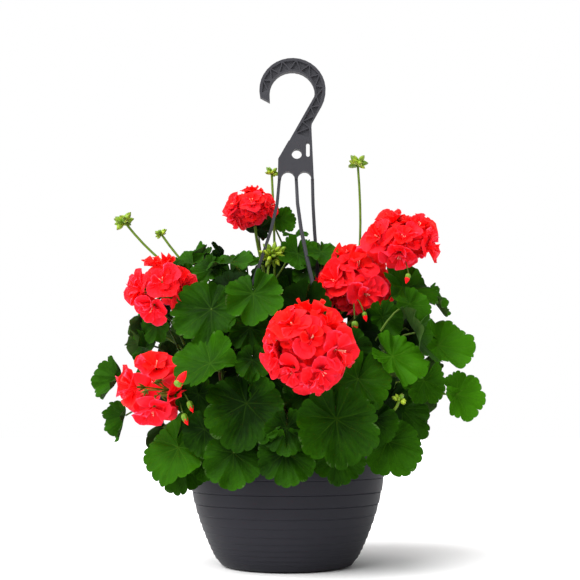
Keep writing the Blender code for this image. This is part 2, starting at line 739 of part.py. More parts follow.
class Leaf:
    """One leaf: the point where its stalk joins the blade, its axes, its radius and how it is waved."""

    def __init__(self, middle, frame, radius, rng, lobes=7, fold=0.0):
        self.frame = frame
        self.radius = radius
        self.lobes = lobes
        self.fold = fold
        self.steep = math.sqrt(1 + fold * fold)
        self.cup = rng.uniform(0.02, 0.26)
        self.wave = rng.uniform(0.03, 0.09)
        self.phase = rng.uniform(0, 2 * math.pi)
        self.junction = middle - frame.col[1] * 0.2 * radius

    def at(self, degrees, reach, lift=0.0):
        """A point of the blade: an angle from the tip, a share of the way out to the edge, and a lift."""
        angle = math.radians(degrees)
        out = self.radius * (0.92 + 0.2 * math.cos(angle)) * reach
        across = out * math.sin(angle) / self.steep
        height = self.cup * self.radius * reach ** 2 * (1 - 0.3 * math.cos(angle))
        height += self.wave * self.radius * reach ** 2 * math.cos(3 * angle + self.phase)
        height += self.fold * abs(across)
        flat = Vector((across, out * math.cos(angle), height + lift * self.steep))
        return self.junction + self.frame @ flat

    def outline(self):
        """The lobes with notches between them, and the sinus behind the stalk: angles and reaches."""
        step = 300 / (self.lobes - 1)
        notch = 0.87 if self.lobes == 7 else 0.95
        edge = []
        for lobe in range(self.lobes):
            angle = lobe * step - 150
            edge.append((angle, 1.0))
            edge.append((angle + step / 2, notch) if lobe < self.lobes - 1 else (180, 0.16))
        return edge

    def blade(self, thickness, pinch=False):
        """The blade as a closed solid, and the numbers of its lower points."""
        half = thickness / 2
        edge = []
        for angle, reach in self.outline():
            lift = 0 if pinch and reach < 1 else half
            edge.append((self.at(angle, reach, lift), self.at(angle, reach, -lift)))
        return plate((self.at(0, 0, half), self.at(0, 0, -half)), edge)

    def stalk_line(self, end, bulge):
        """The middle of the petiole, from the blade back to a point on a shoot."""
        start = self.at(0, 0, -BLADE / 2)
        length = (end - start).length
        leaving = start - (self.frame.col[1] * 0.5 + self.frame.col[2] * 0.6) * 0.4 * length
        arriving = end + (start - end) * 0.3 + Vector((0, 0, bulge * length))
        return curve(start, leaving, arriving, end, STALK_POINTS)

    def collar(self, points, lower):
        """Adds a three-sided ring under the blade's middle. Returns the faces from it to the edge."""
        ring = len(points)
        points += [self.at(turn, COLLAR / self.radius, -BLADE / 2) for turn in STALK_TURNS]
        nearest = []
        for angle, _ in self.outline():
            away = [abs((angle - turn + 180) % 360 - 180) for turn in STALK_TURNS]
            nearest.append(ring + away.index(min(away)))
        faces = []
        for k, here in enumerate(nearest):
            after = (k + 1) % len(nearest)
            faces.append([lower[1 + k], lower[1 + after], here])
            if here != nearest[after]:
                faces.append([lower[1 + after], nearest[after], here])
        return faces

    def stalk(self, points, line):
        """Adds the petiole, which goes on from the collar, the last points so far. Returns its faces."""
        faces = []
        for k in range(1, len(line)):
            along = (line[min(k + 1, len(line) - 1)] - line[k - 1]).normalized()
            side = self.frame.col[0] - along * along.dot(self.frame.col[0])
            side.normalize()
            other = along.cross(side)
            if other.dot(self.frame.col[1]) < 0:
                other = -other
            ring = len(points) - 3
            for turn in STALK_TURNS:
                angle = math.radians(turn)
                wide = PETIOLE + PETIOLE_GROWTH * k
                points.append(line[k] + (side * math.sin(angle) + other * math.cos(angle)) * wide)
            for j in range(3):
                first, second = ring + j, ring + (j + 1) % 3
                faces += [[first, second, second + 3], [first, second + 3, first + 3]]
        return faces + [[len(points) - 3, len(points) - 2, len(points) - 1]]

    def whole(self, end, bulge):
        """Blade and petiole as one closed solid: the blade's underside opens into the petiole."""
        points, faces, lower = self.blade(BLADE, pinch=True)
        unused = lower[0]
        faces = [face for face in faces if unused not in face]
        faces += self.collar(points, lower)
        faces += self.stalk(points, self.stalk_line(end, bulge))
        points.pop(unused)
        return points, [[k - (k > unused) for k in face] for face in faces]


# Shoots

class Shoot:
    """A leafy shoot: its stem, and the solids that grow from it."""

    def __init__(self, number, degrees, foot_out, tip_out, tip_height):
        turn = math.radians(degrees)
        outwards = Vector((math.cos(turn), math.sin(turn), 0))
        self.name = f"shoot_{number:02d}"
        self.ground = outwards * foot_out * MM
        self.ground.z = soil_height(foot_out * MM) + 3 * MM
        self.foot = self.ground - Vector((0, 0, HOLE_DEPTH))
        tip = outwards * tip_out * MM + Vector((0, 0, tip_height * MM))
        rise = (tip.z - self.ground.z) * 0.45
        above = curve(self.ground, self.ground + Vector((0, 0, rise)), tip - Vector((0, 0, rise)), tip, 6)
        self.line = [self.foot] + above
        self.stem = tube(self.line, [SHOOT_RADIUS * (1 - 0.05 * k) for k in range(len(self.line))], 4)
        self.grown = []

    def joints(self):
        """Points on the stem where a stalk can grow, from the tip down."""
        found = [self.line[-1].lerp(self.line[-2], 0.3)]
        for k in range(len(self.line) - 1, 1, -1):
            found += [self.line[k].lerp(self.line[k - 1], share) for share in (0.0, 0.5)]
        return found


def grow(placed, shoots, start, make_stalk, kept_solids, may_fuse=True):
    """Grows a stalk to the first shoot that it can reach clear of all other nodes, and returns that shoot.

    Where none is wholly clear, the stalk may cross what grows on the same shoot, which then fuses with it.
    """
    choices = []
    for shoot in shoots:
        for joint in shoot.joints():
            drop = start.z - joint.z
            cost = (start - joint).length + (0 if drop > 0 else -2.5 * drop)
            choices.append((cost, shoot, joint))
    choices.sort(key=lambda choice: choice[0])
    for strict in (True, False) if may_fuse else (True,):
        for _, shoot, joint in choices[:70]:
            for bulge in (0.0, 0.15, -0.12, 0.3):
                stalk = make_stalk(joint, bulge, CLEARANCE / 2)
                real = make_stalk(joint, bulge, 0.0)

                def own(node, kind, name=shoot.name):
                    return node == name and (kind == "stem" or not strict)
                if not placed.meets(stalk, own) and not placed.meets(real, own):
                    for kind, solid in kept_solids + [("stalk", real)]:
                        placed.add(shoot.name, kind, solid)
                        shoot.grown.append(solid)
                    return shoot
    return None


# Flower heads and buds

def floret(root, frame, radius, rng):
    """Five broad petals: a thin plate, cut in between the petals, whose middle starts in the core."""
    waves = [rng.uniform(-0.1, 0.1) for _ in range(5)]
    edge = []
    for j in range(5):
        edge.append((72 * j - 23, 1.0, 0.06 + waves[j]))
        edge.append((72 * j + 23, 1.0, 0.06 - waves[j]))
        edge.append((72 * j + 36, 0.62, 0.04))

    def at(degrees, reach, rise, lift):
        angle = math.radians(degrees)
        flat = Vector((reach * math.sin(angle), reach * math.cos(angle), rise)) * radius
        return root + frame @ flat + frame.col[2] * lift

    middle = (at(0, 0, -0.05, 0), at(0, 0, -0.62, 0))
    rim = []
    for degrees, reach, rise in edge:
        lift = PETAL / 2 if reach == 1 else 0
        rim.append((at(degrees, reach, rise, lift), at(degrees, reach, rise, -lift)))
    return plate(middle, rim)[:2]


class Head:
    """A red flower head: florets over a small core, round the end of a stalk."""

    def __init__(self, number, row, florets):
        across, up, radius, right, upwards, in_front, flatness = row
        self.name = f"flower_head_{number}"
        self.middle = seen(across * MM, up * MM, in_front * MM)
        self.radius = radius * MM * (1 + in_front * MM / EYE.y)
        self.axis = facing(right, upwards)
        self.flatness = flatness
        self.florets = [facing(*place) for place in florets]

    def spread(self, direction, reach):
        """A point of the head in a direction, at a share of its radius, flattened along the head's axis."""
        along = self.axis * direction.dot(self.axis)
        return self.middle + (direction - along * (1 - self.flatness)) * self.radius * reach

    def core(self):
        """A small solid dome that the florets stand out of."""
        made = bmesh.new()
        bmesh.ops.create_icosphere(made, subdivisions=1, radius=1)
        points = [self.spread(v.co.normalized(), 0.68) for v in made.verts]
        faces = [[v.index for v in f.verts] for f in made.faces]
        made.free()
        return points, faces

    def petals(self, rng):
        solids = []
        for direction in self.florets:
            along = self.axis * direction.dot(self.axis)
            normal = (direction - along * (1 - 1 / self.flatness)).normalized()
            normal += Vector((rng.uniform(-1, 1), rng.uniform(-1, 1), rng.uniform(-1, 1))) * 0.07
            frame = blade_frame(normal.normalized(), rng.uniform(0, 72))
            solids.append(floret(self.spread(direction, 0.78), frame, 0.46 * self.radius, rng))
        return solids

    def stalk_top(self, tree):
        """Where the main stalk ends: a little below the middle of the head's underside."""
        far = self.middle - self.axis * 2 * self.radius
        hit, _, _, _ = tree.ray_cast(far, self.axis)
        return hit - self.axis * 9 * MM

    def pedicels(self, top, tree):
        """The main stalk's thick tip, and thin stalks from it, each to just short of the red body."""
        solids = []
        aims = [(self.middle, 1.7 * MM)] + [(self.spread(d, 0.6), 1.0 * MM) for d in self.florets[:2]]
        for aim, radius in aims:
            way = (aim - top).normalized()
            hit, _, _, distance = tree.ray_cast(top, way)
            if hit is None or distance < 5 * MM:
                continue
            end = top + way * (distance - GAP)
            line = [top - way * 2 * MM, end - way * 2 * radius, end]
            solids.append(tube(line, [radius, radius, 0.1 * MM], 3))
        return solids


def bud(base, direction, length):
    """A pointed bud: a four-sided spindle."""
    side = direction.orthogonal().normalized()
    other = direction.cross(side)
    middle = base + direction * length * 0.45
    wide = length * 0.3
    points = [base, middle + side * wide, middle + other * wide, middle - side * wide,
              middle - other * wide, base + direction * length]
    faces = []
    for k in range(4):
        after = 1 + (k + 1) % 4
        faces += [[0, after, 1 + k], [5, 1 + k, after]]
    return points, faces


def bud_cluster(middle, axis, radius, count):
    """Green buds that radiate from the end of a stalk."""
    frame = blade_frame(axis, 0)
    solids = []
    for k in range(count):
        polar = math.radians(15 + 95 * math.sqrt((k + 0.3) / count))
        turn = k * math.radians(137.5)
        out = math.sin(polar)
        way = frame @ Vector((out * math.cos(turn), out * math.sin(turn), math.cos(polar)))
        solids.append(bud(middle - way * 0.25 * radius, way, 1.25 * radius))
    return solids


def stalk_to(start, leaving_way, radius, straight=0.35):
    """Returns a function that makes a flower stalk from its top down to a point on a shoot."""
    def make(end, bulge, more):
        length = (end - start).length
        leaving = start + leaving_way * straight * length
        arriving = end + (start - end) * 0.12 + Vector((0, 0, (0.28 + bulge) * length))
        line = curve(start, leaving, arriving, end, 6)
        return tube(line, [radius + more] * 5 + [radius * 1.3 + more], 4)
    return make


# Putting the plants together

def leaf_clear(placed, leaf):
    return not placed.meets(leaf.blade(BLADE + 2 * CLEARANCE)[:2])


def settle(placed, make_leaf, shifts):
    """The first clear leaf out of those that make_leaf makes at each shift, or None."""
    for shift in shifts:
        leaf = make_leaf(shift)
        if leaf_clear(placed, leaf):
            return leaf
    return None


def add_leaf(placed, shoots, leaf, may_fuse=True):
    """Joins a leaf to a shoot by its petiole. Blade and petiole are tested apart, and made as one solid."""
    def make(end, bulge, more):
        if not more:
            return leaf.whole(end, bulge)
        line = leaf.stalk_line(end, bulge)
        line[0] = line[0].lerp(line[1], 0.25)
        return tube(line, [1.8 * MM + more] * STALK_POINTS, 3)
    return grow(placed, shoots, leaf.junction, make, [], may_fuse)


def loose_leaf(row, rng):
    """Returns a function that makes a leaf away from the mound, moved along the line of sight by a shift."""
    across, up, radius, right, upwards, tip, in_front, fold = row
    frame = blade_frame(facing(right, upwards), tip)
    seed = rng.random()

    def make(shift):
        middle = seen(across * MM, up * MM, in_front * MM + shift)
        return Leaf(middle, frame, radius * MM, random.Random(seed), 7, fold)
    return make


def front_leaf(row, rng):
    """Returns a function that makes a front leaf, moved along the line of sight by a shift."""
    across, up, radius, right, upwards, tip, layer = row
    depth = mound_front(across * MM, up * MM, layer)
    seed = rng.random()

    def make(shift):
        in_front = depth + shift
        size = radius * MM * (1 + in_front / EYE.y)
        frame = blade_frame(facing(right, upwards), tip)
        lobes = 7 if layer < DEEP_LAYER else 5
        return Leaf(seen(across * MM, up * MM, in_front), frame, size, random.Random(seed), lobes)
    return make


def mound_leaf(k, rng):
    """Returns a function that makes a leaf on the mound's sides, back or top, sunk by a shift."""
    share = (k + 0.5) / MOUND_LEAVES
    polar = math.acos(1 - 1.42 * share)
    turn = k * math.radians(137.508) + rng.uniform(-0.1, 0.1)
    radius = rng.uniform(*MOUND_LEAF_RADII) * MM
    outwards = Vector((math.cos(turn), math.sin(turn), 0))
    height = MOUND_MIDDLE + MOUND_RISE * 0.94 * math.cos(polar)
    if height < MOUND_MIDDLE:
        height = MOUND_MIDDLE - (MOUND_MIDDLE - height) * 1.75
    out = mound_radius(height) * min(1, 0.35 + math.sin(polar))
    normal = (outwards * math.sin(polar) + Vector((0, 0, math.cos(polar) * 0.9 + 0.3))).normalized()
    tilt = Vector((rng.uniform(-1, 1), rng.uniform(-1, 1), rng.uniform(-1, 1))) * 0.32
    frame = blade_frame((normal + tilt).normalized(), rng.uniform(-55, 55))
    seed = rng.random()

    def make(shift):
        middle = outwards * out + Vector((0, 0, height)) - normal * shift
        return Leaf(middle, frame, radius, random.Random(seed), 5)
    return make, outwards, height


def place_heads(placed, shoots, rng):
    """Makes the red heads, each with the stalk that carries it."""
    red = material("petals", PETAL_RED, 0.5)
    heads = [Head(k + 1, row, FLORETS[k]) for k, row in enumerate(HEADS)]
    for head in heads:
        body = mesh_object(head.name, head.core(), red)
        combine(body, [mesh_object("petal", solid) for solid in head.petals(rng)], "UNION", "MANIFOLD")
        one_body(body)
        solid = solid_of(body)
        placed.add(head.name, "petals", solid)
        tree = BVHTree.FromPolygons(*solid)
        top = head.stalk_top(tree)
        kept = [("stalk", p) for p in head.pedicels(top, tree) if not placed.meets(p)]
        leaving = -head.axis * 0.5 + Vector((0, 0, -0.5))
        grow(placed, shoots, top, stalk_to(top, leaving, 1.9 * MM), kept)
    return heads


def place_buds(placed, shoots):
    for k, (across, up, radius, lean, in_front, count) in enumerate(BUD_CLUSTERS):
        carriers = [shoots[CLUSTER_SHOOTS[k]]] if k in CLUSTER_SHOOTS else shoots
        middle = seen(across * MM, up * MM, in_front * MM)
        axis = facing(90, 90 - lean) if lean > 0 else facing(-90, 90 + lean)
        buds = bud_cluster(middle, axis, radius * MM, count)
        kept = [("buds", b) for b in buds if not placed.meets(b)]
        grow(placed, carriers, middle, stalk_to(middle, -axis, 1.3 * MM, 0.6), kept)


def place_leaves(placed, shoots, rng):
    """Places the loose leaves, then those of the front, of the mound's sides and back, and the extra ones."""
    line_of_sight = [0] + [step * sign * MM for step in range(3, 48, 3) for sign in (-1, 1)]
    for row in LOOSE_LEAVES:
        leaf = settle(placed, loose_leaf(row, rng), line_of_sight)
        if leaf:
            add_leaf(placed, shoots, leaf)
    for row in FRONT_LEAVES:
        leaf = settle(placed, front_leaf(row, rng), line_of_sight)
        if leaf:
            add_leaf(placed, shoots, leaf)
    count = 0
    for k in range(MOUND_LEAVES):
        make, outwards, height = mound_leaf(k * MOUND_ORDER % MOUND_LEAVES, rng)
        limit = -0.15 if height < 200 * MM else -0.62 if height < 345 * MM else 0.3
        in_view = outwards.y < limit
        shifts = [step * MM for step in range(0, 52, 4)]
        leaf = None if in_view or count == MOUND_LEAVES_KEPT else settle(placed, make, shifts)
        if leaf and add_leaf(placed, shoots, leaf, may_fuse=False):
            count += 1
    for row in EXTRA_LEAVES:
        leaf = settle(placed, loose_leaf(row, rng), line_of_sight)
        if leaf:
            add_leaf(placed, shoots, leaf)


def main():
    rng = random.Random(SEED)
    clear_scene()
    placed = Placed()
    shoots = [Shoot(k + 1, *row) for k, row in enumerate(SHOOTS)]
    make_pot()
    make_soil([shoot.foot for shoot in shoots])
    make_hanger()
    for name in ("pot", "potting_soil") + HANGER_NODES:
        placed.add(name, "made", solid_of(bpy.data.objects[name]))
    for middle, sides in FREE_ROOMS:
        placed.add("room", "made", box(Vector(middle) * MM, Vector(sides) * MM))
    for shoot in shoots:
        placed.add(shoot.name, "stem", shoot.stem)
    heads = place_heads(placed, shoots, rng)
    place_buds(placed, shoots)
    for leg in LEGS:
        placed.add("sight", "sight", sight_of_leg(*leg))
    for head in heads[:FRONT_HEADS]:
        placed.add("sight", "sight", sight_of_ball(head.middle, head.radius))
    across, up, radius, _, in_front, _ = BUD_CLUSTERS[SHOWN_CLUSTER]
    cluster = seen(across * MM, up * MM, in_front * MM)
    placed.add("sight", "sight", sight_of_ball(cluster, 1.3 * radius * MM))
    place_leaves(placed, shoots, rng)

    green = material("leaves", LEAF_GREEN, 0.55)
    for shoot in shoots:
        stem = mesh_object(shoot.name, shoot.stem, green)
        combine(stem, [mesh_object("grown", solid) for solid in shoot.grown], "UNION", "MANIFOLD")
        one_body(stem)


main()
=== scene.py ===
"""The looks of a hanging basket of red zonal geraniums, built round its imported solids. Metres, +Z up.

The leaves, flowers and stalks stand where the solids have them: the same seeded rule places them here,
and each one is then drawn with its real outline, folds and veins.
"""

import math
import random

import bmesh
import bpy
import numpy as np
from mathutils import Matrix, Vector
from mathutils.bvhtree import BVHTree
from mathutils.noise import fractal


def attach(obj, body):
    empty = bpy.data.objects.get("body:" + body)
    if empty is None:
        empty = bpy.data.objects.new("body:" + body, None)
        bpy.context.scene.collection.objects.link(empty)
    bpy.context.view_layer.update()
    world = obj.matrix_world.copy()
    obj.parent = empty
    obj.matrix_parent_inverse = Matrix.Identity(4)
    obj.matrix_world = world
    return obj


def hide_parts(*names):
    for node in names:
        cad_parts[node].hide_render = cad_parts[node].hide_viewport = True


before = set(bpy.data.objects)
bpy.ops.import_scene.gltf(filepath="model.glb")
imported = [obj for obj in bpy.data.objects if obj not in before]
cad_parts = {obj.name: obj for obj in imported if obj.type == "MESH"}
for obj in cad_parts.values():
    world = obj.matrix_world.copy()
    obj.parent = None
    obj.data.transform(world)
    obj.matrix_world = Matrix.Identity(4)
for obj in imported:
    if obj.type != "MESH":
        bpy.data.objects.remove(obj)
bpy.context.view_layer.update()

MM = 0.001

# Pot and soil, as in the solids.
POT_HEIGHT = 155 * MM
RIM_RADIUS = 125 * MM
TAPER = 42.5 * MM
TAPER_POWER = 2.1
FOOT_RADIUS = 78 * MM
FIRST_BAND = 9.2 * MM
FIRST_BAND_HEIGHT = 4.8 * MM
BAND_GROWTH = 1.15
BAND_STEP = 1.0 * MM
WALL = 2.2 * MM
LIP_WIDTH = 3.0 * MM
LIP_HEIGHT = 7.0 * MM
INSIDE_HEIGHTS = (95 * MM, 45 * MM, 6 * MM)
DRAIN_COUNT = 5
DRAIN_RADIUS = 4 * MM
DRAIN_RING = 52 * MM
GAP = 0.4 * MM
SOIL_TOP = 145 * MM
SOIL_RISE = 6 * MM
HOLE_DEPTH = 34 * MM

# Hanger, as in the solids.
HANGER_NODES = ("hanger_hook", "hanger_neck", "hanger_leg_1", "hanger_leg_2", "hanger_leg_3")
HOOK_SEAM = 542.5 * MM
NECK_BOTTOM = 490 * MM
LEG_RADIUS = 115.5 * MM
LEG_FOOT = 134 * MM
LEG_DROP = 82 * MM
LEG_TURN = 0.62
LEG_LIFT = 8 * MM
LEG_POINTS = 9
ABOVE_LUG = 12 * MM
LEG_SECTION = (4.0 * MM, 4.2 * MM)
# For each leg of the hanger: where it leaves the neck, its direction from the pot's axis in degrees, and the
# height down to which the photograph shows it.
LEGS = ((-9.9 * MM, 183, 350 * MM), (12.2 * MM, -52, 318 * MM), (33.4 * MM, 58, 400 * MM))
LUG = (16 * MM, 12 * MM, 5 * MM)
LUG_TOP = 148 * MM

# Rooms that leaves keep out of, in millimetres: middle and sides.
FREE_ROOMS = (
    ((7, 0, 600), (70, 60, 90)),
    ((1.2, 0, 459), (20, 22, 60)),
    ((25.5, 0, 459), (13, 22, 60)),
)

# Where the photograph is taken from, and how wide it sees.
EYE = Vector((4 * MM, -1250 * MM, 157 * MM))
CAMERA_PITCH = 8.5
FOCAL_PIXELS = 980
PHOTO_PIXELS = 580
SENSOR_WIDTH = 36
SIGHT_START = 0.006
SIGHT_FRONT = 1.05
SIGHT_SHARE = 0.62
SIGHT_SIDES = 8
FRONT_HEADS = 6

# The mound that the foliage makes.
MOUND_RADIUS = 185 * MM
MOUND_MIDDLE = 230 * MM
MOUND_RISE = 165 * MM
MOUND_FALL = 287 * MM
MOUND_SKIN = 0.97
LAYER = 20 * MM
DEEP_LAYER = 0.85

# Stems, buds, blades and their stalks.
STEM_BEND = 0.45
STEM_TAPER = 0.05
ABOVE_SOIL = 3 * MM
BUD_MIDDLE = 0.45
BUD_WIDTH = 0.3
BUD_SPREAD = (15, 95)
BLADE = 0.8 * MM
CLEARANCE = 1.2 * MM
CUPS = (0.02, 0.26)
WAVES = (0.03, 0.09)
LEAF_SIDE = 0.92
LEAF_TIP = 0.2
CUP_LEAN = 0.3
LOBE_SPAN = 300
NOTCHES = {7: 0.87, 5: 0.95}
SINUS_REACH = 0.16
STALK_POINTS = 3
COLLAR = 1.6 * MM
STALK_TURNS = (60, 180, 300)
PETIOLE = 1.2 * MM
PETIOLE_GROWTH = 0.3 * MM
STALK_ROOM = 1.8 * MM
STALK_ARRIVAL = 0.12
STALK_RISE = 0.28
STALK_FLARE = 1.3
STALK_BULGES = (0.0, 0.15, -0.12, 0.3)
NEAREST_JOINTS = 70
CLIMB = 2.5
# Radius of the stalks of heads and of bud clusters, and the share of them that leaves straight.
HEAD_STALK = (1.9 * MM, 0.35)
BUD_STALK = (1.3 * MM, 0.6)

# The seed, the turns between neighbours of a spiral in degrees, and the step that spreads tones evenly.
SEED = 7
SPIRAL = 137.508
BUD_SPIRAL = 137.5
SPREAD = 0.618

# Leaves at the front: across, up, radius, facing right, facing up, tip, layer, tone. Millimetres on the
# upright plane through the pot's axis, as seen from the front, and degrees. A tone of 0 is dark, 1 light.
# The tones are partly the leaves' own colour and partly painted shade: low for leaves that lie deep in the
# mound or under a head.
FRONT_LEAVES = (
    (64, 168, 57, 5, 12, 5, -0.3, 0.25),
    (-140, 136, 44, -12, 28, -15, -0.3, 0.85),
    (131, 144, 45, 12, 15, 20, 0.0, 0.6),
    (-105, 251, 45, -15, 35, -110, -0.1, 0.65),
    (142, 254, 41, 15, 30, 60, -0.2, 1.2),
    (201, 271, 41, 15, 35, 80, 0.0, 1.5),
    (222, 208, 34, 25, 15, 70, 0.0, 1.6),
    (-43, 332, 42, 5, 25, 0, 0.1, 0.5),
    (162, 321, 27, 20, 30, 30, -0.2, 0.6),
    (-105, 313, 50, -10, 22, -45, 0.8, 0.3),
    (88, 222, 46, 5, 25, -20, 0.6, 0.6),
    (172, 222, 33, 10, 25, -30, 0.35, 0.85),
    (152, 185, 43, 30, 15, 45, 0.9, 0.4),
    (-53, 188, 55, 0, 12, -10, 1.0, 0.05),
    (-67, 129, 40, -5, 5, 0, 0.5, 0.2),
    (-1, 130, 40, 0, 5, 0, 0.5, 0.15),
    (64, 132, 39, 10, 5, 0, 0.9, 0.2),
    (-132, 122, 40, -20, 5, -5, 0.8, 0.25),
    (-44, 249, 25, 0, 5, 0, 1.1, 0.1),
    (157, 344, 43, 25, 40, 60, 0.6, 0.7),
    (192, 328, 24, 65, 25, 60, 0.3, 0.9),
    (88, 394, 34, 10, 65, 40, 1.4, 0.45),
    (-129, 378, 34, -20, 60, -60, 0.5, 0.5),
    (-74, 380, 32, -10, 65, -20, 0.8, 0.5),
    (-168, 295, 24, -25, 10, -20, 0.5, 0.4),
    (-180, 262, 33, -60, 0, 0, 0.5, 0.2),
    (-203, 218, 22, -75, 0, 0, 0.9, 0.1),
    (-103, 122, 22, -15, 5, 0, 1.2, 0.2),
    (-47, 289, 30, 0, 0, 0, 1.8, 0.1),
    (-112, 204, 31, -15, 5, 0, 1.6, 0.1),
    (28, 210, 35, 0, 5, 0, 1.9, 0.1),
    (80, 264, 34, 0, 5, 0, 1.9, 0.1),
    (0, 161, 32, 0, 5, 0, 1.6, 0.05),
    (-20, 222, 34, 0, 0, 0, 2.4, 0.05),
    (110, 172, 32, 10, 0, 0, 2.2, 0.1),
    (-104, 160, 32, -10, 0, 0, 1.9, 0.05),
)
# Leaves away from the mound: across, up, radius, facing right, facing up, tip, then how far in front of
# the pot's axis in millimetres, how steeply each half of the blade rises from a fold along its middle, tone.
LOOSE_LEAVES = (
    (-36, 421, 25, -10, 45, 20, -38, 0.5, 0.1),
    (-6, 434, 20, 15, 15, 40, -28, 0.3, 0.95),
    (11, 415, 20, 0, 70, 0, -25, 0.3, 0.7),
    (-218, 229, 33, -45, 10, -70, 0, 0.5, 0.6),
    (-206, 178, 30, -50, -10, -35, 0, 0.9, 0.6),
    (46, 391, 23, 0, 45, 10, 4, 0, 0.5),
    (14, 388, 28, -5, 40, 0, -10, 0, 0.5),
    (21, 362, 15, 0, 10, 0, 4, 0, 0.1),
    (4, 332, 33, 0, 15, 0, 8, 0, 0.2),
    (-54, 378, 26, 0, 60, -10, -14, 0, 0.45),
)
# The same for the leaves that are placed last.
EXTRA_LEAVES = (
    (-100, 368, 24, -10, 40, -20, 60, 0.3, 0.35),
    (-128, 352, 26, -15, 35, -40, 70, 0.3, 0.35),
    (-72, 362, 24, 0, 40, 10, 50, 0.3, 0.35),
    (-150, 372, 20, -25, 45, -60, 40, 0.4, 0.35),
    (-104, 386, 22, -5, 50, -20, 10, 0.4, 0.35),
    (124, 303, 28, 10, 10, 10, 50, 0.2, 0.35),
    (8, 132, 44, 180, 8, 0, -138, 0, 0.35),
    (-78, 136, 42, -148, 10, 0, -112, 0, 0.35),
    (90, 134, 42, 150, 10, 0, -104, 0, 0.35),
)
MOUND_TONES = (0.3, 0.9)
MOUND_LEAVES = 120
MOUND_ORDER = 37
MOUND_LEAVES_KEPT = 27
MOUND_LEAF_RADII = (40, 51)
MOUND_SHARE = 1.42
MOUND_TOP = 0.94
MOUND_DROOP = 1.75
MOUND_TURN = 0.1
MOUND_TILT = 0.32
MOUND_TIPS = (-55, 55)
MOUND_SHIFTS = [step * MM for step in range(0, 52, 4)]
# Below each height, the leaves of the mound whose direction's Y is under a limit are left out: the rows above
# fill that side.
VIEW_LIMITS = ((200 * MM, -0.15), (345 * MM, -0.62), (math.inf, 0.3))
INNER_LEAVES = 150
INNER_LEAF_RADII = (27, 40)
# The tones of the inner leaves stay low: painted shade.
INNER_PAINTED_SHADE_TONE = 0.35
INNER_HEIGHTS = (165 * MM, 215 * MM)
INNER_OUT = (0.86, 0.36)
INNER_LEAN = (-0.2, 1.3)
INNER_TIPS = (-60, 60)
INNER_SHIFTS = [step * MM for step in range(0, 50, 5)]
LEAF_RINGS = 9
INNER_RINGS = 6
SIGHT_SHIFTS = [0] + [step * sign * MM for step in range(3, 48, 3) for sign in (-1, 1)]

# Flower heads: across, up, radius, facing right, facing up, distance in front of the axis, flatness.
HEADS = (
    (26, 269, 63, 0, 10, 182, 1.0),
    (87, 353, 56, 0, 30, 4, 0.75),
    (149, 411, 52, 5, 50, 25, 0.55),
    (-46, 451, 38, -20, 60, -30, 0.75),
    (-162, 344, 46, -25, 15, 88, 0.85),
    (-170, 218, 51, -55, 5, 100, 0.78),
    (-84, 308, 48, -160, 35, -155, 0.75),
    (118, 312, 50, 150, 30, -150, 0.75),
)
# For each head, where the florets of its solid face: turned right, turned up, in degrees.
FLORETS = (
    ((4, 10), (-56, 36), (-68, -14), (52, 36), (76, -12), (-34, -42), (12, -62), (0, 88), (170, 10)),
    ((-40, 4), (8, 34), (68, -8), (20, -24), (-88, -14), (-30, 66), (150, 40)),
    ((-56, 6), (0, 8), (-14, -48), (64, -12), (54, 44), (-34, 60), (150, 10)),
    ((-58, 8), (0, 18), (62, 4), (0, 86), (-80, -40), (170, 10)),
    ((62, 6), (4, 14), (-60, 2), (-26, -48), (0, 76), (150, 0), (-130, 0)),
    ((6, 48), (-62, 2), (8, -50), (68, -22), (150, 20), (-150, -10)),
    ((165, 6), (-130, 6), (180, 72), (104, 16), (-160, -48)),
    ((150, 6), (-155, 4), (170, 72), (88, 10), (170, -50)),
)
# Green bud clusters: across, up, radius, leaning right, distance in front of the axis, buds.
BUD_CLUSTERS = (
    (-212, 434, 11, -38, 0, 7),
    (-164, 418, 7, -35, -20, 4),
    (93, 512, 11, -4, -66, 7),
    (-20, 499, 8, -3, -32, 5),
    (-19, 390, 15, 20, -4, 10),
    (143, 203, 7, 20, 132, 4),
)
SHOWN_CLUSTER = 4
CLUSTER_SHOOTS = {2: 3, 3: 10}
# For each head: how many further florets are tried between those of the solid, how many degrees apart they
# stay, the inner petals of a floret, and the size of its florets.
HEAD_FILLING = {1: (70, 24, 6, 1.0), 2: (60, 25, 5, 1.08), 3: (50, 26, 5, 1.05), 4: (60, 27, 4, 1.02),
                5: (0, 0, 5, 1.2), 6: (0, 0, 4, 1.2), 7: (40, 27, 4, 1.0), 8: (40, 27, 4, 1.0)}
# Further florets at chosen places of a head: turned right, turned up, how far out, size.
SET_FLORETS = {1: ((46, -6, 0.86, 0.5), (26, -40, 0.8, 0.44), (-24, 30, 0.84, 0.4))}
FLORET_OUT = 0.78
FLORET_SIZE = 0.46
FLORET_TILT = 0.07
OUTER_PETAL = 1.02
INNER_PETAL = 0.68
FLORET_SINK = 0.07
FILLING_REACH = 0.55
# Red buds beside a head: across, up, distance in front, length, leaning right, how far its calyx covers it.
RED_BUDS = {
    6: ((-139, 222, 176, 18, 33, 0.1), (-124, 200, 130, 13, 158, 0.85), (-131, 184, 130, 13, 155, 0.85)),
    2: ((99, 314, 108, 11, 165, 0.4), (87, 302, 108, 14, 178, 0.6)),
    3: ((157, 364, 70, 12, -165, 0.5),),
}
SHOOT_RADIUS = 3.6 * MM
# For each shoot: its direction in degrees, then in millimetres how far out its foot and its tip are, and how
# high its tip is.
SHOOTS = (
    (-90, 62, 104, 215),
    (-45, 66, 112, 235),
    (0, 62, 112, 230),
    (45, 66, 108, 240),
    (90, 62, 108, 230),
    (135, 66, 108, 240),
    (180, 62, 118, 225),
    (225, 66, 112, 235),
    (-70, 22, 62, 300),
    (20, 24, 66, 305),
    (110, 22, 56, 305),
    (200, 24, 62, 310),
)

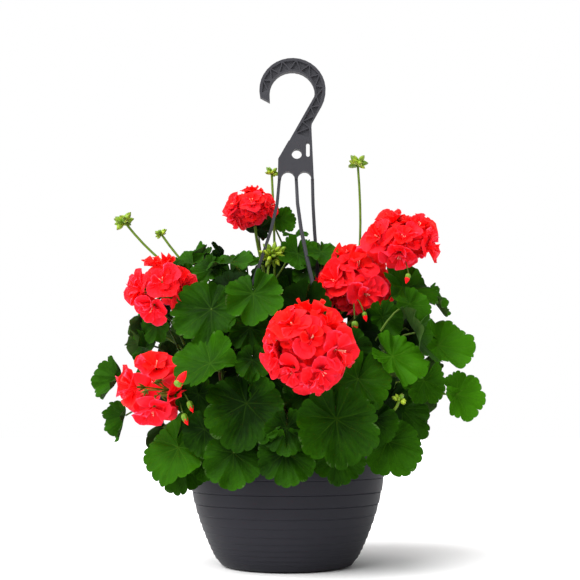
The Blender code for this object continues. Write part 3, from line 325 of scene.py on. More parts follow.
# Colours, as linear red, green, blue and alpha.
LEAF_DARK = (0.0023, 0.011, 0.00023, 1)
LEAF_LIGHT = (0.02, 0.084, 0.0011, 1)
LEAF_VEIN = (0.047, 0.12, 0.0062, 1)
# Darker copies of the leaf colours for the leaves inside the mound: painted shade.
INNER_PAINTED_SHADE_DARK = (0.0012, 0.0055, 0.00016, 1)
INNER_PAINTED_SHADE_LIGHT = (0.0055, 0.027, 0.00047, 1)
UNDER_DARK = (0.016, 0.043, 0.007, 1)
UNDER_LIGHT = (0.047, 0.1, 0.02, 1)
UNDER_VEIN = (0.1, 0.17, 0.055, 1)
WOODY = (0.06, 0.027, 0.009, 1)
STALK_GREEN = (0.045, 0.085, 0.007, 1)
STALK_PALE = (0.115, 0.19, 0.011, 1)
BUD_DARK = (0.08, 0.19, 0.004, 1)
BUD_LIGHT = (0.33, 0.44, 0.02, 1)
BUD_TIP = (0.10, 0.11, 0.012, 1)
PETAL_SCARLET = (0.95, 0.006, 0.004, 1)
# Pinker red: partly the petals' own colour, partly painted light on florets that face down.
PETAL_PINKER = (0.98, 0.013, 0.032, 1)
PETAL_STREAK = (0.72, 0.003, 0.003, 1)
PETAL_CLAW = (0.92, 0.2, 0.12, 1)
PETAL_SHEEN = (1.0, 0.3, 0.4, 1)
STAMEN_DARK = (0.7, 0.2, 0.1, 1)
STAMEN_LIGHT = (0.85, 0.5, 0.35, 1)
SOIL_DARK = (0.010, 0.006, 0.004, 1)
SOIL_LIGHT = (0.055, 0.034, 0.020, 1)
SOIL_FIBRE = (0.10, 0.065, 0.035, 1)
POT_COLOUR = (0.0162, 0.0160, 0.0208, 1)
HANGER_COLOUR = (0.034, 0.034, 0.039, 1)
FLOOR_COLOUR = (0.93, 0.93, 0.93, 1)

# Finer shapes of the pot, the soil and the hanger. GROOVE is how deep the groove under a band is, at each
# share of the band's height.
POT_SIDES = 192
FOOT_ROUNDING = 4.5 * MM
ROUNDED_TO = 15 * MM
GROOVE = {0.0: 1.5 * MM, 0.04: 1.0 * MM, 0.08: 0.1 * MM}
GROOVE_BAND = 15 * MM
BAND_SHARES = (0.0, 0.04, 0.08, 0.3, 0.6, 0.85, 0.975)
SOIL_RINGS = 64
SOIL_SIDES = 220
CRUMBS = 140
CRUMB_HEIGHT = 2.2 * MM
SEAM_OVERLAP = 1 * MM
EDGE_ROUNDING = 0.35 * MM

# Light: where the key comes from, to the right of the front and above the ground in degrees. The light round
# the object goes from the first strength of AMBIENT to the last over AMBIENT_RANGE.
KEY_FROM = (-42, 50)
KEY_POWER = 4.9
KEY_SPREAD = 60
AMBIENT = (0.13, 1.22)
AMBIENT_RANGE = (-0.6, 1.1)
AMBIENT_SLANT = -1.0


# Placing, by the same rule as the solids

def turns(count):
    return [2 * math.pi * k / count for k in range(count)]


def outward(turn):
    return Vector((math.cos(turn), math.sin(turn), 0))


def jitter(rng, low=-1, high=1):
    """A random vector, whose height lies between low and high."""
    return Vector((rng.uniform(-1, 1), rng.uniform(-1, 1), rng.uniform(low, high)))


def round_about(way, count):
    """Directions square to a way, spread evenly round it."""
    side = way.orthogonal().normalized()
    other = way.cross(side)
    return [side * math.cos(a) + other * math.sin(a) for a in turns(count)]


def polar_way(axes, polar, turn):
    wide = math.sin(polar)
    return axes @ Vector((wide * math.cos(turn), wide * math.sin(turn), math.cos(polar)))


def tube(line, radii, sides):
    """A plain round stalk: its points, and its faces as lists of point numbers."""
    points, side = [], None
    count = len(line)
    for k, here in enumerate(line):
        along = (line[min(k + 1, count - 1)] - line[max(k - 1, 0)]).normalized()
        side = side or along.orthogonal().normalized()
        side = (side - along * side.dot(along)).normalized()
        other = along.cross(side)
        points += [here + (side * math.cos(a) + other * math.sin(a)) * radii[k] for a in turns(sides)]
    faces = [list(range(sides)), list(range(len(points) - 1, len(points) - sides - 1, -1))]
    for k in range(count - 1):
        for j in range(sides):
            after = (j + 1) % sides
            low, high = k * sides, (k + 1) * sides
            faces.append([low + j, high + j, high + after, low + after])
    return points, faces


def curve(start, leaving, arriving, end, count):
    line = []
    for k in range(count):
        t = k / (count - 1)
        line.append((1 - t) ** 3 * start + 3 * (1 - t) ** 2 * t * leaving
                    + 3 * (1 - t) * t * t * arriving + t ** 3 * end)
    return line


def plate(middle, edge):
    """A thin closed plate: a fan on each face. Middle and each edge entry are a pair of points."""
    points, upper, lower = [], [], []
    for above, below in [middle] + edge:
        upper.append(len(points))
        points.append(above)
        if (above - below).length > 0:
            points.append(below)
        lower.append(len(points) - 1)
    faces = []
    for k in range(1, len(upper)):
        after = 1 + k % len(edge)
        faces += [[upper[0], upper[after], upper[k]], [lower[0], lower[k], lower[after]]]
        faces += [[upper[k], upper[after], lower[after]], [upper[k], lower[after], lower[k]]]
    return points, [f for f in faces if len(set(f)) == 3], lower


def leg_line(start_x, degrees):
    """The middle of one leg, from just under the neck down to below its lug."""
    turn = math.radians(degrees)
    foot = Vector((LEG_RADIUS * math.cos(turn), LEG_RADIUS * math.sin(turn), LUG_TOP + ABOVE_LUG))
    start = Vector((start_x, 0, NECK_BOTTOM))
    leaving = start - Vector((0, 0, LEG_DROP))
    arriving = start.lerp(foot, LEG_TURN) + Vector((0, 0, LEG_LIFT))
    line = curve(start, leaving, arriving, foot, LEG_POINTS)
    line[0].z -= GAP
    return line + [Vector((foot.x, foot.y, LEG_FOOT))]


def sight_of_leg(start_x, degrees, lowest):
    """A fan from the eye to the part of a leg that shows, which leaves keep out of."""
    line = [point.lerp(EYE, SIGHT_START) for point in leg_line(start_x, degrees) if point.z > lowest]
    return [EYE] + line, [[0, k, k + 1] for k in range(1, len(line))]


def sight_of_ball(centre, radius):
    """A cone with spokes from the eye to the front of a round thing, which leaves keep out of."""
    towards = (EYE - centre).normalized()
    middle = centre + towards * SIGHT_FRONT * radius
    wide = SIGHT_SHARE * radius
    ring = [middle + way * wide for way in round_about(towards, SIGHT_SIDES)]
    faces = [[0, 1 + k, 1 + (k + 1) % SIGHT_SIDES] for k in range(SIGHT_SIDES)]
    faces += [[0, 1 + k, 1 + k + SIGHT_SIDES // 2] for k in range(SIGHT_SIDES // 2)]
    return [EYE] + ring, faces


def box_of(points):
    return [Vector(pick(p[i] for p in points) for i in range(3)) for pick in (min, max)]


class Placed:
    """What has been placed so far, so that what comes next can be kept clear of it."""

    def __init__(self):
        self.items = []

    def add(self, node, kind, solid):
        low, high = box_of(solid[0])
        self.items.append((node, kind, low, high, BVHTree.FromPolygons(*solid)))

    def meets(self, solid, allowed=None):
        low, high = box_of(solid[0])
        tree = None
        for node, kind, item_low, item_high, item_tree in self.items:
            if allowed and allowed(node, kind):
                continue
            if any(low[i] > item_high[i] or high[i] < item_low[i] for i in range(3)):
                continue
            tree = tree or BVHTree.FromPolygons(*solid)
            if tree.overlap(item_tree):
                return True
        return False


def solid_of(obj):
    return [v.co.copy() for v in obj.data.vertices], [list(p.vertices) for p in obj.data.polygons]


def seen(across, up, in_front):
    """A point that the photograph shows at across and up, at a distance in front of the pot's axis."""
    on_plane = Vector((across, 0, up))
    return on_plane + (EYE - on_plane) * (in_front / -EYE.y)


def mound_radius(height):
    if height < MOUND_MIDDLE:
        return MOUND_RADIUS * math.sqrt(1 - ((MOUND_MIDDLE - height) / MOUND_FALL) ** 2)
    return MOUND_RADIUS * max(0, 1 - ((height - MOUND_MIDDLE) / MOUND_RISE) ** 3) ** (1 / 3)


def mound_front(across, up, layer):
    radius = mound_radius(up)
    return math.sqrt(max(0, radius ** 2 - across ** 2)) * MOUND_SKIN - layer * LAYER


def facing(right, up):
    yaw, pitch = math.radians(right), math.radians(up)
    return Vector((math.sin(yaw) * math.cos(pitch), -math.cos(yaw) * math.cos(pitch), math.sin(pitch)))


def bud_way(lean):
    """The way of a bud that leans right of upright by some degrees, or left where they are below 0."""
    return facing(90, 90 - lean) if lean > 0 else facing(-90, 90 + lean)


def blade_frame(normal, tip_degrees):
    """Axes of a blade: X across it, Y to its tip and Z out of its upper face."""
    down = Vector((0, 0, -1)) if abs(normal.z) < 0.98 else Vector((0, -1, 0))
    down = (down - normal * down.dot(normal)).normalized()
    right = normal.cross(down)
    tip = math.radians(tip_degrees)
    forward = down * math.cos(tip) + right * math.sin(tip)
    return Matrix((forward.cross(normal), forward, normal)).transposed()


class Leaf:
    """One leaf: the point where its stalk joins the blade, its axes, its radius and how it is waved."""

    def __init__(self, middle, axes, radius, rng, lobes=7, fold=0.0, tone=0.5):
        self.frame = axes
        self.radius = radius
        self.lobes = lobes
        self.fold = fold
        self.steep = math.sqrt(1 + fold * fold)
        self.cup = rng.uniform(*CUPS)
        self.wave = rng.uniform(*WAVES)
        self.phase = rng.uniform(0, 2 * math.pi)
        self.tone = tone
        self.junction = middle - axes.col[1] * LEAF_TIP * radius

    def at(self, degrees, reach, lift=0.0):
        """A point of the blade: an angle from the tip, a share of the way out to the edge, and a lift."""
        angle = math.radians(degrees)
        out = self.radius * (LEAF_SIDE + LEAF_TIP * math.cos(angle)) * reach
        across = out * math.sin(angle) / self.steep
        height = self.cup * self.radius * reach ** 2 * (1 - CUP_LEAN * math.cos(angle))
        height += self.wave * self.radius * reach ** 2 * math.cos(3 * angle + self.phase)
        height += self.fold * abs(across)
        flat = Vector((across, out * math.cos(angle), height + lift * self.steep))
        return self.junction + self.frame @ flat

    def outline(self):
        """The lobes with notches between them, and the sinus behind the stalk: angles and reaches."""
        step = LOBE_SPAN / (self.lobes - 1)
        edge = []
        for lobe in range(self.lobes):
            angle = lobe * step - LOBE_SPAN / 2
            last = lobe == self.lobes - 1
            edge.append((angle, 1.0))
            edge.append((180, SINUS_REACH) if last else (angle + step / 2, NOTCHES[self.lobes]))
        return edge

    def blade(self, thickness, pinch=False):
        """The blade as a closed solid, and the numbers of its lower points."""
        half = thickness / 2
        edge = []
        for angle, reach in self.outline():
            lift = 0 if pinch and reach < 1 else half
            edge.append((self.at(angle, reach, lift), self.at(angle, reach, -lift)))
        return plate((self.at(0, 0, half), self.at(0, 0, -half)), edge)

    def stalk_line(self, end, bulge, count=STALK_POINTS):
        """The middle of the petiole, from the blade back to a point on a shoot."""
        start = self.at(0, 0, -BLADE / 2)
        length = (end - start).length
        leaving = start - (self.frame.col[1] * 0.5 + self.frame.col[2] * 0.6) * 0.4 * length
        arriving = end + (start - end) * 0.3 + Vector((0, 0, bulge * length))
        return curve(start, leaving, arriving, end, count)

    def collar(self, points, lower):
        """Adds a three-sided ring under the blade's middle. Returns the faces from it to the edge."""
        ring = len(points)
        points += [self.at(turn, COLLAR / self.radius, -BLADE / 2) for turn in STALK_TURNS]
        nearest = []
        for angle, _ in self.outline():
            away = [abs((angle - turn + 180) % 360 - 180) for turn in STALK_TURNS]
            nearest.append(ring + away.index(min(away)))
        faces = []
        for k, here in enumerate(nearest):
            after = (k + 1) % len(nearest)
            faces.append([lower[1 + k], lower[1 + after], here])
            if here != nearest[after]:
                faces.append([lower[1 + after], nearest[after], here])
        return faces

    def stalk(self, points, line):
        """Adds the petiole, which goes on from the collar, the last points so far. Returns its faces."""
        faces = []
        for k in range(1, len(line)):
            along = (line[min(k + 1, len(line) - 1)] - line[k - 1]).normalized()
            side = self.frame.col[0] - along * along.dot(self.frame.col[0])
            side.normalize()
            other = along.cross(side)
            if other.dot(self.frame.col[1]) < 0:
                other = -other
            ring = len(points) - 3
            for turn in STALK_TURNS:
                angle = math.radians(turn)
                wide = PETIOLE + PETIOLE_GROWTH * k
                points.append(line[k] + (side * math.sin(angle) + other * math.cos(angle)) * wide)
            for j in range(3):
                first, second = ring + j, ring + (j + 1) % 3
                faces += [[first, second, second + 3], [first, second + 3, first + 3]]
        return faces + [[len(points) - 3, len(points) - 2, len(points) - 1]]

    def whole(self, end, bulge):
        """Blade and petiole as one closed solid: the blade's underside opens into the petiole."""
        points, faces, lower = self.blade(BLADE, pinch=True)
        unused = lower[0]
        faces = [face for face in faces if unused not in face]
        faces += self.collar(points, lower)
        faces += self.stalk(points, self.stalk_line(end, bulge))
        points.pop(unused)
        return points, [[k - (k > unused) for k in face] for face in faces]


def soil_height(radius):
    return SOIL_TOP + SOIL_RISE * (1 - (radius / RIM_RADIUS) ** 2)


class Shoot:
    """A leafy shoot: its stem, and the places of all that grows from it."""

    def __init__(self, number, degrees, foot_out, tip_out, tip_height):
        outwards = outward(math.radians(degrees))
        self.name = f"shoot_{number:02d}"
        self.ground = outwards * foot_out * MM
        self.ground.z = soil_height(foot_out * MM) + ABOVE_SOIL
        self.foot = self.ground - Vector((0, 0, HOLE_DEPTH))
        self.tip = outwards * tip_out * MM + Vector((0, 0, tip_height * MM))
        self.line = [self.foot] + self.above(6)
        self.stem = tube(self.line, [SHOOT_RADIUS * (1 - STEM_TAPER * k) for k in range(len(self.line))], 4)
        self.leaves, self.stalks, self.clusters = [], [], []

    def above(self, count):
        rise = Vector((0, 0, (self.tip.z - self.ground.z) * STEM_BEND))
        return curve(self.ground, self.ground + rise, self.tip - rise, self.tip, count)

    def joints(self):
        found = [self.line[-1].lerp(self.line[-2], 0.3)]
        for k in range(len(self.line) - 1, 1, -1):
            found += [self.line[k].copy(), self.line[k].lerp(self.line[k - 1], 0.5)]
        return found


def climb_cost(start, joint, climb):
    """The way from a stalk's start to a joint. What the stalk climbs to reach it counts more."""
    return (start - joint).length + climb * max(0, joint.z - start.z)


def grow(placed, shoots, start, make_stalk, kept_solids, may_fuse=True):
    """Where a stalk from start grows to: its shoot, joint and bulge. It takes the first that is clear."""
    places = [(shoot, joint) for shoot in shoots for joint in shoot.joints()]
    choices = [(climb_cost(start, joint, CLIMB), shoot, joint) for shoot, joint in places]
    choices.sort(key=lambda choice: choice[0])
    for strict in (True, False) if may_fuse else (True,):
        for _, shoot, joint in choices[:NEAREST_JOINTS]:
            for bulge in STALK_BULGES:
                stalk = make_stalk(joint, bulge, CLEARANCE / 2)
                real = make_stalk(joint, bulge, 0.0)

                def own(node, kind, name=shoot.name):
                    return node == name and (kind == "stem" or not strict)
                if not placed.meets(stalk, own) and not placed.meets(real, own):
                    for kind, solid in kept_solids + [("stalk", real)]:
                        placed.add(shoot.name, kind, solid)
                    return shoot, joint, bulge
    return None


class Head:
    """A red flower head: florets round a middle, at the end of a stalk."""

    def __init__(self, number, row, florets):
        across, up, radius, right, upwards, in_front, flatness = row
        self.name = f"flower_head_{number}"
        self.middle = seen(across * MM, up * MM, in_front * MM)
        self.radius = radius * MM * (1 + in_front * MM / EYE.y)
        self.axis = facing(right, upwards)
        self.flatness = flatness
        self.directions = [facing(*place) for place in florets]

    def spread(self, direction, reach):
        along = self.axis * direction.dot(self.axis)
        return self.middle + (direction - along * (1 - self.flatness)) * self.radius * reach

    def normal(self, direction):
        along = self.axis * direction.dot(self.axis)
        return (direction - along * (1 - 1 / self.flatness)).normalized()

    def florets(self, rng):
        """For each floret of the solid: its root, axes and radius, drawn from rng as the solid draws them."""
        places = []
        for direction in self.directions:
            normal = self.normal(direction)
            normal += jitter(rng) * FLORET_TILT
            axes = blade_frame(normal.normalized(), rng.uniform(0, 72))
            for _ in range(5):
                rng.uniform(-0.1, 0.1)
            places.append((self.spread(direction, FLORET_OUT), axes, FLORET_SIZE * self.radius))
        return places

    def stalk_top(self, tree):
        hit, _, _, _ = tree.ray_cast(self.middle - self.axis * 2 * self.radius, self.axis)
        return hit - self.axis * 9 * MM

    def pedicels(self, top, tree):
        solids = []
        aims = [(self.middle, 1.7 * MM)] + [(self.spread(d, 0.6), 1.0 * MM) for d in self.directions[:2]]
        for aim, radius in aims:
            way = (aim - top).normalized()
            hit, _, _, distance = tree.ray_cast(top, way)
            if hit is None or distance < 5 * MM:
                continue
            end = top + way * (distance - GAP)
            line = [top - way * 2 * MM, end - way * 2 * radius, end]
            solids.append(tube(line, [radius, radius, 0.1 * MM], 3))
        return solids


def bud(base, direction, length):
    side = direction.orthogonal().normalized()
    other = direction.cross(side)
    middle = base + direction * length * BUD_MIDDLE
    wide = length * BUD_WIDTH
    points = [base, middle + side * wide, middle + other * wide, middle - side * wide,
              middle - other * wide, base + direction * length]
    faces = []
    for k in range(4):
        after = 1 + (k + 1) % 4
        faces += [[0, after, 1 + k], [5, 1 + k, after]]
    return points, faces


def bud_ways(axis, count):
    """Directions of the buds of a cluster about its axis."""
    axes = blade_frame(axis, 0)
    ways = []
    for k in range(count):
        polar = math.radians(BUD_SPREAD[0] + BUD_SPREAD[1] * math.sqrt((k + 0.3) / count))
        ways.append(polar_way(axes, polar, k * math.radians(BUD_SPIRAL)))
    return ways


def stalk_path(start, leaving_way, end, bulge, straight, count):
    length = (end - start).length
    leaving = start + leaving_way * straight * length
    arriving = end + (start - end) * STALK_ARRIVAL + Vector((0, 0, (STALK_RISE + bulge) * length))
    return curve(start, leaving, arriving, end, count)


def stalk_to(start, leaving_way, radius, straight):
    def make(end, bulge, more):
        line = stalk_path(start, leaving_way, end, bulge, straight, 6)
        return tube(line, [radius + more] * 5 + [radius * STALK_FLARE + more], 4)
    return make


def settle(placed, make_leaf, shifts):
    """The leaf at the first of some shifts where it is clear of all that has been placed."""
    for shift in shifts:
        leaf = make_leaf(shift)
        if not placed.meets(leaf.blade(BLADE + 2 * CLEARANCE)[:2]):
            return leaf
    return None


def add_leaf(placed, shoots, make_leaf, shifts, may_fuse=True):
    """Settles a leaf and grows its stalk. Returns the leaf if there was room for both."""
    leaf = settle(placed, make_leaf, shifts)
    if not leaf:
        return None

    def make(end, bulge, more):
        if not more:
            return leaf.whole(end, bulge)
        line = leaf.stalk_line(end, bulge)
        line[0] = line[0].lerp(line[1], 0.25)
        return tube(line, [STALK_ROOM + more] * STALK_POINTS, 3)
    grown = grow(placed, shoots, leaf.junction, make, [], may_fuse)
    if not grown:
        return None
    shoot, joint, bulge = grown
    shoot.leaves.append((leaf, joint, bulge))
    return leaf


def loose_leaf(row, rng):
    """Returns a function that makes a leaf away from the mound, moved along the line of sight by a shift."""
    across, up, radius, right, upwards, tip, in_front, fold, tone = row
    axes = blade_frame(facing(right, upwards), tip)
    seed = rng.random()

    def make(shift):
        middle = seen(across * MM, up * MM, in_front * MM + shift)
        return Leaf(middle, axes, radius * MM, random.Random(seed), 7, fold, tone)
    return make


def front_leaf(row, rng):
    """Returns a function that makes a front leaf, moved along the line of sight by a shift."""
    across, up, radius, right, upwards, tip, layer, tone = row
    depth = mound_front(across * MM, up * MM, layer)
    axes = blade_frame(facing(right, upwards), tip)
    lobes = 7 if layer < DEEP_LAYER else 5
    seed = rng.random()

    def make(shift):
        in_front = depth + shift
        size = radius * MM * (1 + in_front / EYE.y)
        middle = seen(across * MM, up * MM, in_front)
        return Leaf(middle, axes, size, random.Random(seed), lobes, tone=tone)
    return make


def mound_leaf(k, rng):
    """A function that makes a leaf of the mound, sunk into it by a shift, and its direction and height."""
    share = (k + 0.5) / MOUND_LEAVES
    polar = math.acos(1 - MOUND_SHARE * share)
    turn = k * math.radians(SPIRAL) + rng.uniform(-MOUND_TURN, MOUND_TURN)
    radius = rng.uniform(*MOUND_LEAF_RADII) * MM
    outwards = outward(turn)
    height = MOUND_MIDDLE + MOUND_RISE * MOUND_TOP * math.cos(polar)
    if height < MOUND_MIDDLE:
        height = MOUND_MIDDLE - (MOUND_MIDDLE - height) * MOUND_DROOP
    out = mound_radius(height) * min(1, 0.35 + math.sin(polar))
    normal = (outwards * math.sin(polar) + Vector((0, 0, math.cos(polar) * 0.9 + 0.3))).normalized()
    tilt = jitter(rng) * MOUND_TILT
    axes = blade_frame((normal + tilt).normalized(), rng.uniform(*MOUND_TIPS))
    seed = rng.random()

    def make(shift):
        middle = outwards * out + Vector((0, 0, height)) - normal * shift
        return Leaf(middle, axes, radius, random.Random(seed), 5)
    return make, outwards, height


def place_heads(placed, shoots, rng):
    heads = []
    for k, row in enumerate(HEADS):
        head = Head(k + 1, row, FLORETS[k])
        head.places = head.florets(rng)
        solid = solid_of(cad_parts[head.name])
        placed.add(head.name, "petals", solid)
        tree = BVHTree.FromPolygons(*solid)
        head.top = head.stalk_top(tree)
        kept = [("stalk", p) for p in head.pedicels(head.top, tree) if not placed.meets(p)]
        way = -head.axis * 0.5 + Vector((0, 0, -0.5))
        shoot, joint, bulge = grow(placed, shoots, head.top, stalk_to(head.top, way, *HEAD_STALK), kept)
        shoot.stalks.append((stalk_path(head.top, way, joint, bulge, HEAD_STALK[1], 16), HEAD_STALK[0]))
        heads.append(head)
    return heads


def place_buds(placed, shoots):
    for k, (across, up, radius, lean, in_front, count) in enumerate(BUD_CLUSTERS):
        carriers = [shoots[CLUSTER_SHOOTS[k]]] if k in CLUSTER_SHOOTS else shoots
        middle = seen(across * MM, up * MM, in_front * MM)
        axis = bud_way(lean)
        ways = bud_ways(axis, count)
        buds = [bud(middle - way * 0.25 * radius * MM, way, 1.25 * radius * MM) for way in ways]
        kept = [("buds", b) for b in buds if not placed.meets(b)]
        shoot, joint, bulge = grow(placed, carriers, middle, stalk_to(middle, -axis, *BUD_STALK), kept)
        shoot.stalks.append((stalk_path(middle, -axis, joint, bulge, BUD_STALK[1], 18), BUD_STALK[0]))
        shoot.clusters.append((middle, axis, radius * MM, count, k == SHOWN_CLUSTER))


def place_leaves(placed, shoots, rng):
    makers = [loose_leaf(row, rng) for row in LOOSE_LEAVES] + [front_leaf(row, rng) for row in FRONT_LEAVES]
    for make in makers:
        add_leaf(placed, shoots, make, SIGHT_SHIFTS)
    count = 0
    for k in range(MOUND_LEAVES):
        make, outwards, height = mound_leaf(k * MOUND_ORDER % MOUND_LEAVES, rng)
        limit = next(limit for below, limit in VIEW_LIMITS if height < below)
        if outwards.y < limit or count == MOUND_LEAVES_KEPT:
            continue
        leaf = add_leaf(placed, shoots, make, MOUND_SHIFTS, may_fuse=False)
        if leaf:
            low, high = MOUND_TONES
            leaf.tone = low + (high - low) * (k * SPREAD % 1)
            count += 1
    for row in EXTRA_LEAVES:
        add_leaf(placed, shoots, loose_leaf(row, rng), SIGHT_SHIFTS)


def place_inner_leaves(placed, shoots):
    """More leaves inside the mound, which close the gaps between those of the solids."""
    rng = random.Random(SEED + 1)
    joints = [joint for shoot in shoots for joint in shoot.joints()]
    found = []
    for k in range(INNER_LEAVES):
        share = (k + 0.5) / INNER_LEAVES
        height = INNER_HEIGHTS[0] + INNER_HEIGHTS[1] * (1 - share)
        out = mound_radius(height) * (INNER_OUT[0] - INNER_OUT[1] * ((k * SPREAD) % 1))
        outwards = outward(k * math.radians(SPIRAL))
        lean = jitter(rng, *INNER_LEAN) * 0.5
        axes = blade_frame((outwards + lean).normalized(), rng.uniform(*INNER_TIPS))
        radius = rng.uniform(*INNER_LEAF_RADII) * MM
        seed = rng.random()

        def make(shift):
            middle = outwards * (out - shift) + Vector((0, 0, height))
            return Leaf(middle, axes, radius, random.Random(seed))
        leaf = settle(placed, make, INNER_SHIFTS)
        if not leaf:
            continue
        joint = min(joints, key=lambda place: climb_cost(leaf.junction, place, 2))
        placed.add("inner", "blade", leaf.blade(BLADE)[:2])
        found.append((leaf, joint, 0.0))
    return found


# Surfaces

# The finishes of foliage and of a flower head, in the order in which a piece is given them.
UPPER, UNDER, STALK, BUD = range(4)
PETAL, STAMEN = range(2)


def add_object(name, data):
    obj = bpy.data.objects.new(name, data)
    bpy.context.scene.collection.objects.link(obj)
    return obj


def reshape(mesh, change):
    """Changes a mesh by a function that is given its bmesh."""
    made = bmesh.new()
    made.from_mesh(mesh)
    change(made)
    made.to_mesh(mesh)
    made.free()


class Piece:
    """Collects surfaces, and makes them one object with a UV map, a tone for each point, and its finishes."""

    def __init__(self, name, *finishes):
        self.name = name
        self.finishes = finishes
        self.points, self.faces, self.maps, self.tones, self.slots = [], [], [], [], []
        self.count = 0

    def add(self, points, faces, maps=None, tone=0.5, finish=0):
        points = np.asarray(points, float).reshape(-1, 3)
        self.points.append(points)
        self.faces += (np.asarray(faces) + self.count).tolist()
        self.maps.append(np.zeros((len(points), 2)) if maps is None else np.asarray(maps).reshape(-1, 2))
        self.tones.append(np.broadcast_to(np.ravel(tone), len(points)))
        self.slots += [finish] * len(faces)
        self.count += len(points)

    def cap(self, numbers):
        """One face with many corners, between points that are already there."""
        self.faces.append(numbers)
        self.slots.append(0)

    def make(self, slot, *nodes):
        mesh = bpy.data.meshes.new(self.name)
        mesh.from_pydata(np.concatenate(self.points), [], self.faces)
        for finish in self.finishes:
            mesh.materials.append(finish)
        mesh.polygons.foreach_set("material_index", self.slots)
        mesh.shade_smooth()
        corners = np.zeros(len(mesh.loops), np.int32)
        mesh.loops.foreach_get("vertex_index", corners)
        layer = mesh.uv_layers.new(name="surface")
        layer.data.foreach_set("uv", np.concatenate(self.maps)[corners].astype(np.float32).ravel())
        tone = mesh.attributes.new("tone", "FLOAT", "POINT")
        tone.data.foreach_set("value", np.concatenate(self.tones).astype(np.float32))
        mesh.update()
        obj = add_object(self.name, mesh)
        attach(obj, "root")
        if nodes:
            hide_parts(*nodes)
        return obj


def quads(rows, columns, closed=False):
    """Faces between rows of points. Closed joins the last column to the first."""
    row = np.arange(rows - 1)[:, None] * columns
    here = np.arange(columns if closed else columns - 1)
    after = (here + 1) % columns
    return np.stack([row + here, row + after, row + columns + after, row + columns + here], -1).reshape(-1, 4)


def round_stalk(piece, line, radii, sides=8, tone=0.5, finish=0):
    """A smooth round stalk with closed ends."""
    points, faces = tube(line, radii, sides)
    along = np.repeat(np.linspace(0, 1, len(line)), sides)
    around = np.tile(np.arange(sides) / sides, len(line))
    piece.add([tuple(p) for p in points], faces[2:], np.stack([around, along], 1), tone, finish)
    piece.add([tuple(p) for p in points[:sides]], [list(range(sides))], None, tone, finish)
    piece.add([tuple(p) for p in points[-sides:]], [list(range(sides - 1, -1, -1))], None, tone, finish)


# Leaves

LOBE = 25.0
SINUS = 8.0
TOOTH = 50 / 3
TEETH = 19
TOOTH_CUTS = (0, 0.1, 0.28, 0.5, 0.72, 0.9)
TOOTH_CUTS_PLAIN = (0, 0.25, 0.6)
TAIL = (163, 167, 170.5, 173.5, 176.5)
LOBE_MIDDLES = np.arange(-150, 151, 50)
NOTCH_DEPTHS = (0.04, 0.15)
LOBE_SIZES = (0.96, 1.05)
TOOTH_HEIGHTS = (0.04, 0.085)
# How much a blade departs from a plain dish, in shares of its radius: pleats along the lobes, tilts of the
# lobes, the raised sides of the sinus, the ruffle of the edge, two sizes of puckers and the flutes.
PLEAT = (0.1, 0.18)
TILT = (-0.25, 0.22)
SINUS_RISE = (0.05, 0.25)
RUFFLE = (0.03, 0.08)
PUCKERS = 0.028
FINE_PUCKERS = 0.014
FLUTE = (0.01, 0.02)
# The tone follows the relief: painted shade in the hollows of a blade and painted light on its raised parts.
# Then random patches for each lobe, and a paler edge.
PAINTED_HOLLOW_SHADE = 1.3
PATCH_SHADE = (-0.14, 0.14)
EDGE_SHADE = 0.16
LEAF_THICKNESS = 0.5 * MM


def leaf_angles(cuts):
    """Angles from the tip at which the edge is drawn: each tooth, then the two sides of the sinus."""
    first = -TEETH / 2 * TOOTH
    teeth = [first + (k + cut) * TOOTH for k in range(TEETH) for cut in cuts] + [-first]
    return np.array([-a for a in TAIL[::-1]] + teeth + list(TAIL) + [180.0])


def lobe_share(angles):
    """0 on the main vein of a lobe and 1 in the notch between two lobes."""
    within = np.abs((np.abs(angles) + LOBE) % (2 * LOBE) - LOBE) / LOBE
    return np.where(np.abs(angles) > 150, 0.4 * within, within)


def leaf_edge(angles, rng):
    """How far out the edge is at each angle: seven round lobes, each with rounded teeth, and the sinus."""
    depths = np.array([rng.uniform(*NOTCH_DEPTHS) for _ in range(6)])
    sizes = [rng.uniform(*LOBE_SIZES) for _ in LOBE_MIDDLES]
    notch = np.clip(np.round((angles + 125) / 50).astype(int), 0, 5)
    spot = angles / TOOTH + TEETH / 2
    heights = np.array([rng.uniform(*TOOTH_HEIGHTS) for _ in range(TEETH + 4)])
    round_tooth = np.sqrt(np.clip(1 - (2 * (spot % 1) - 1) ** 2, 0, 1))
    teeth = heights[np.clip(np.floor(spot).astype(int), 0, TEETH + 3)] * (round_tooth - 0.7)
    edge = np.interp(angles, LOBE_MIDDLES, sizes) * (1 - depths[notch] * lobe_share(angles) ** 2.2)
    gap = np.clip((180 - np.abs(angles)) / SINUS, 0, 1)
    return 0.1 + (edge + np.where(np.abs(angles) > 160, 0, teeth) - 0.1) * gap ** 0.5


def leaf_relief(angles, share, x, y, rng):
    """How far each point of a blade rises or sinks, and the fine flutes that run out to its edge."""
    turn = np.radians(angles)[None, :]
    relief = share ** 1.4 * rng.uniform(*PLEAT) * (lobe_share(angles)[None, :] ** 1.2 - 0.45)
    tilts = [rng.uniform(*TILT) for _ in LOBE_MIDDLES]
    relief = relief + share ** 2 * np.interp(angles, LOBE_MIDDLES, tilts)[None, :]
    near_sinus = np.clip((np.abs(angles) - 95) / 75, 0, 1)[None, :]
    relief += rng.uniform(*SINUS_RISE) * share ** 1.3 * near_sinus
    ruffle = rng.uniform(*RUFFLE)
    relief += share ** 3 * ruffle * np.sin(turn * rng.choice((7, 8, 9)) + rng.uniform(0, 6))
    relief += PUCKERS * np.sin(6 * x + rng.uniform(0, 6)) * np.sin(7 * y + rng.uniform(0, 6))
    relief += FINE_PUCKERS * share * np.sin(13 * x + rng.uniform(0, 6)) * np.sin(11 * y + rng.uniform(0, 6))
    flute = share ** 2 * rng.uniform(*FLUTE)
    return relief, flute * np.cos(turn * rng.choice((17, 19, 21, 23)) + rng.uniform(0, 6))


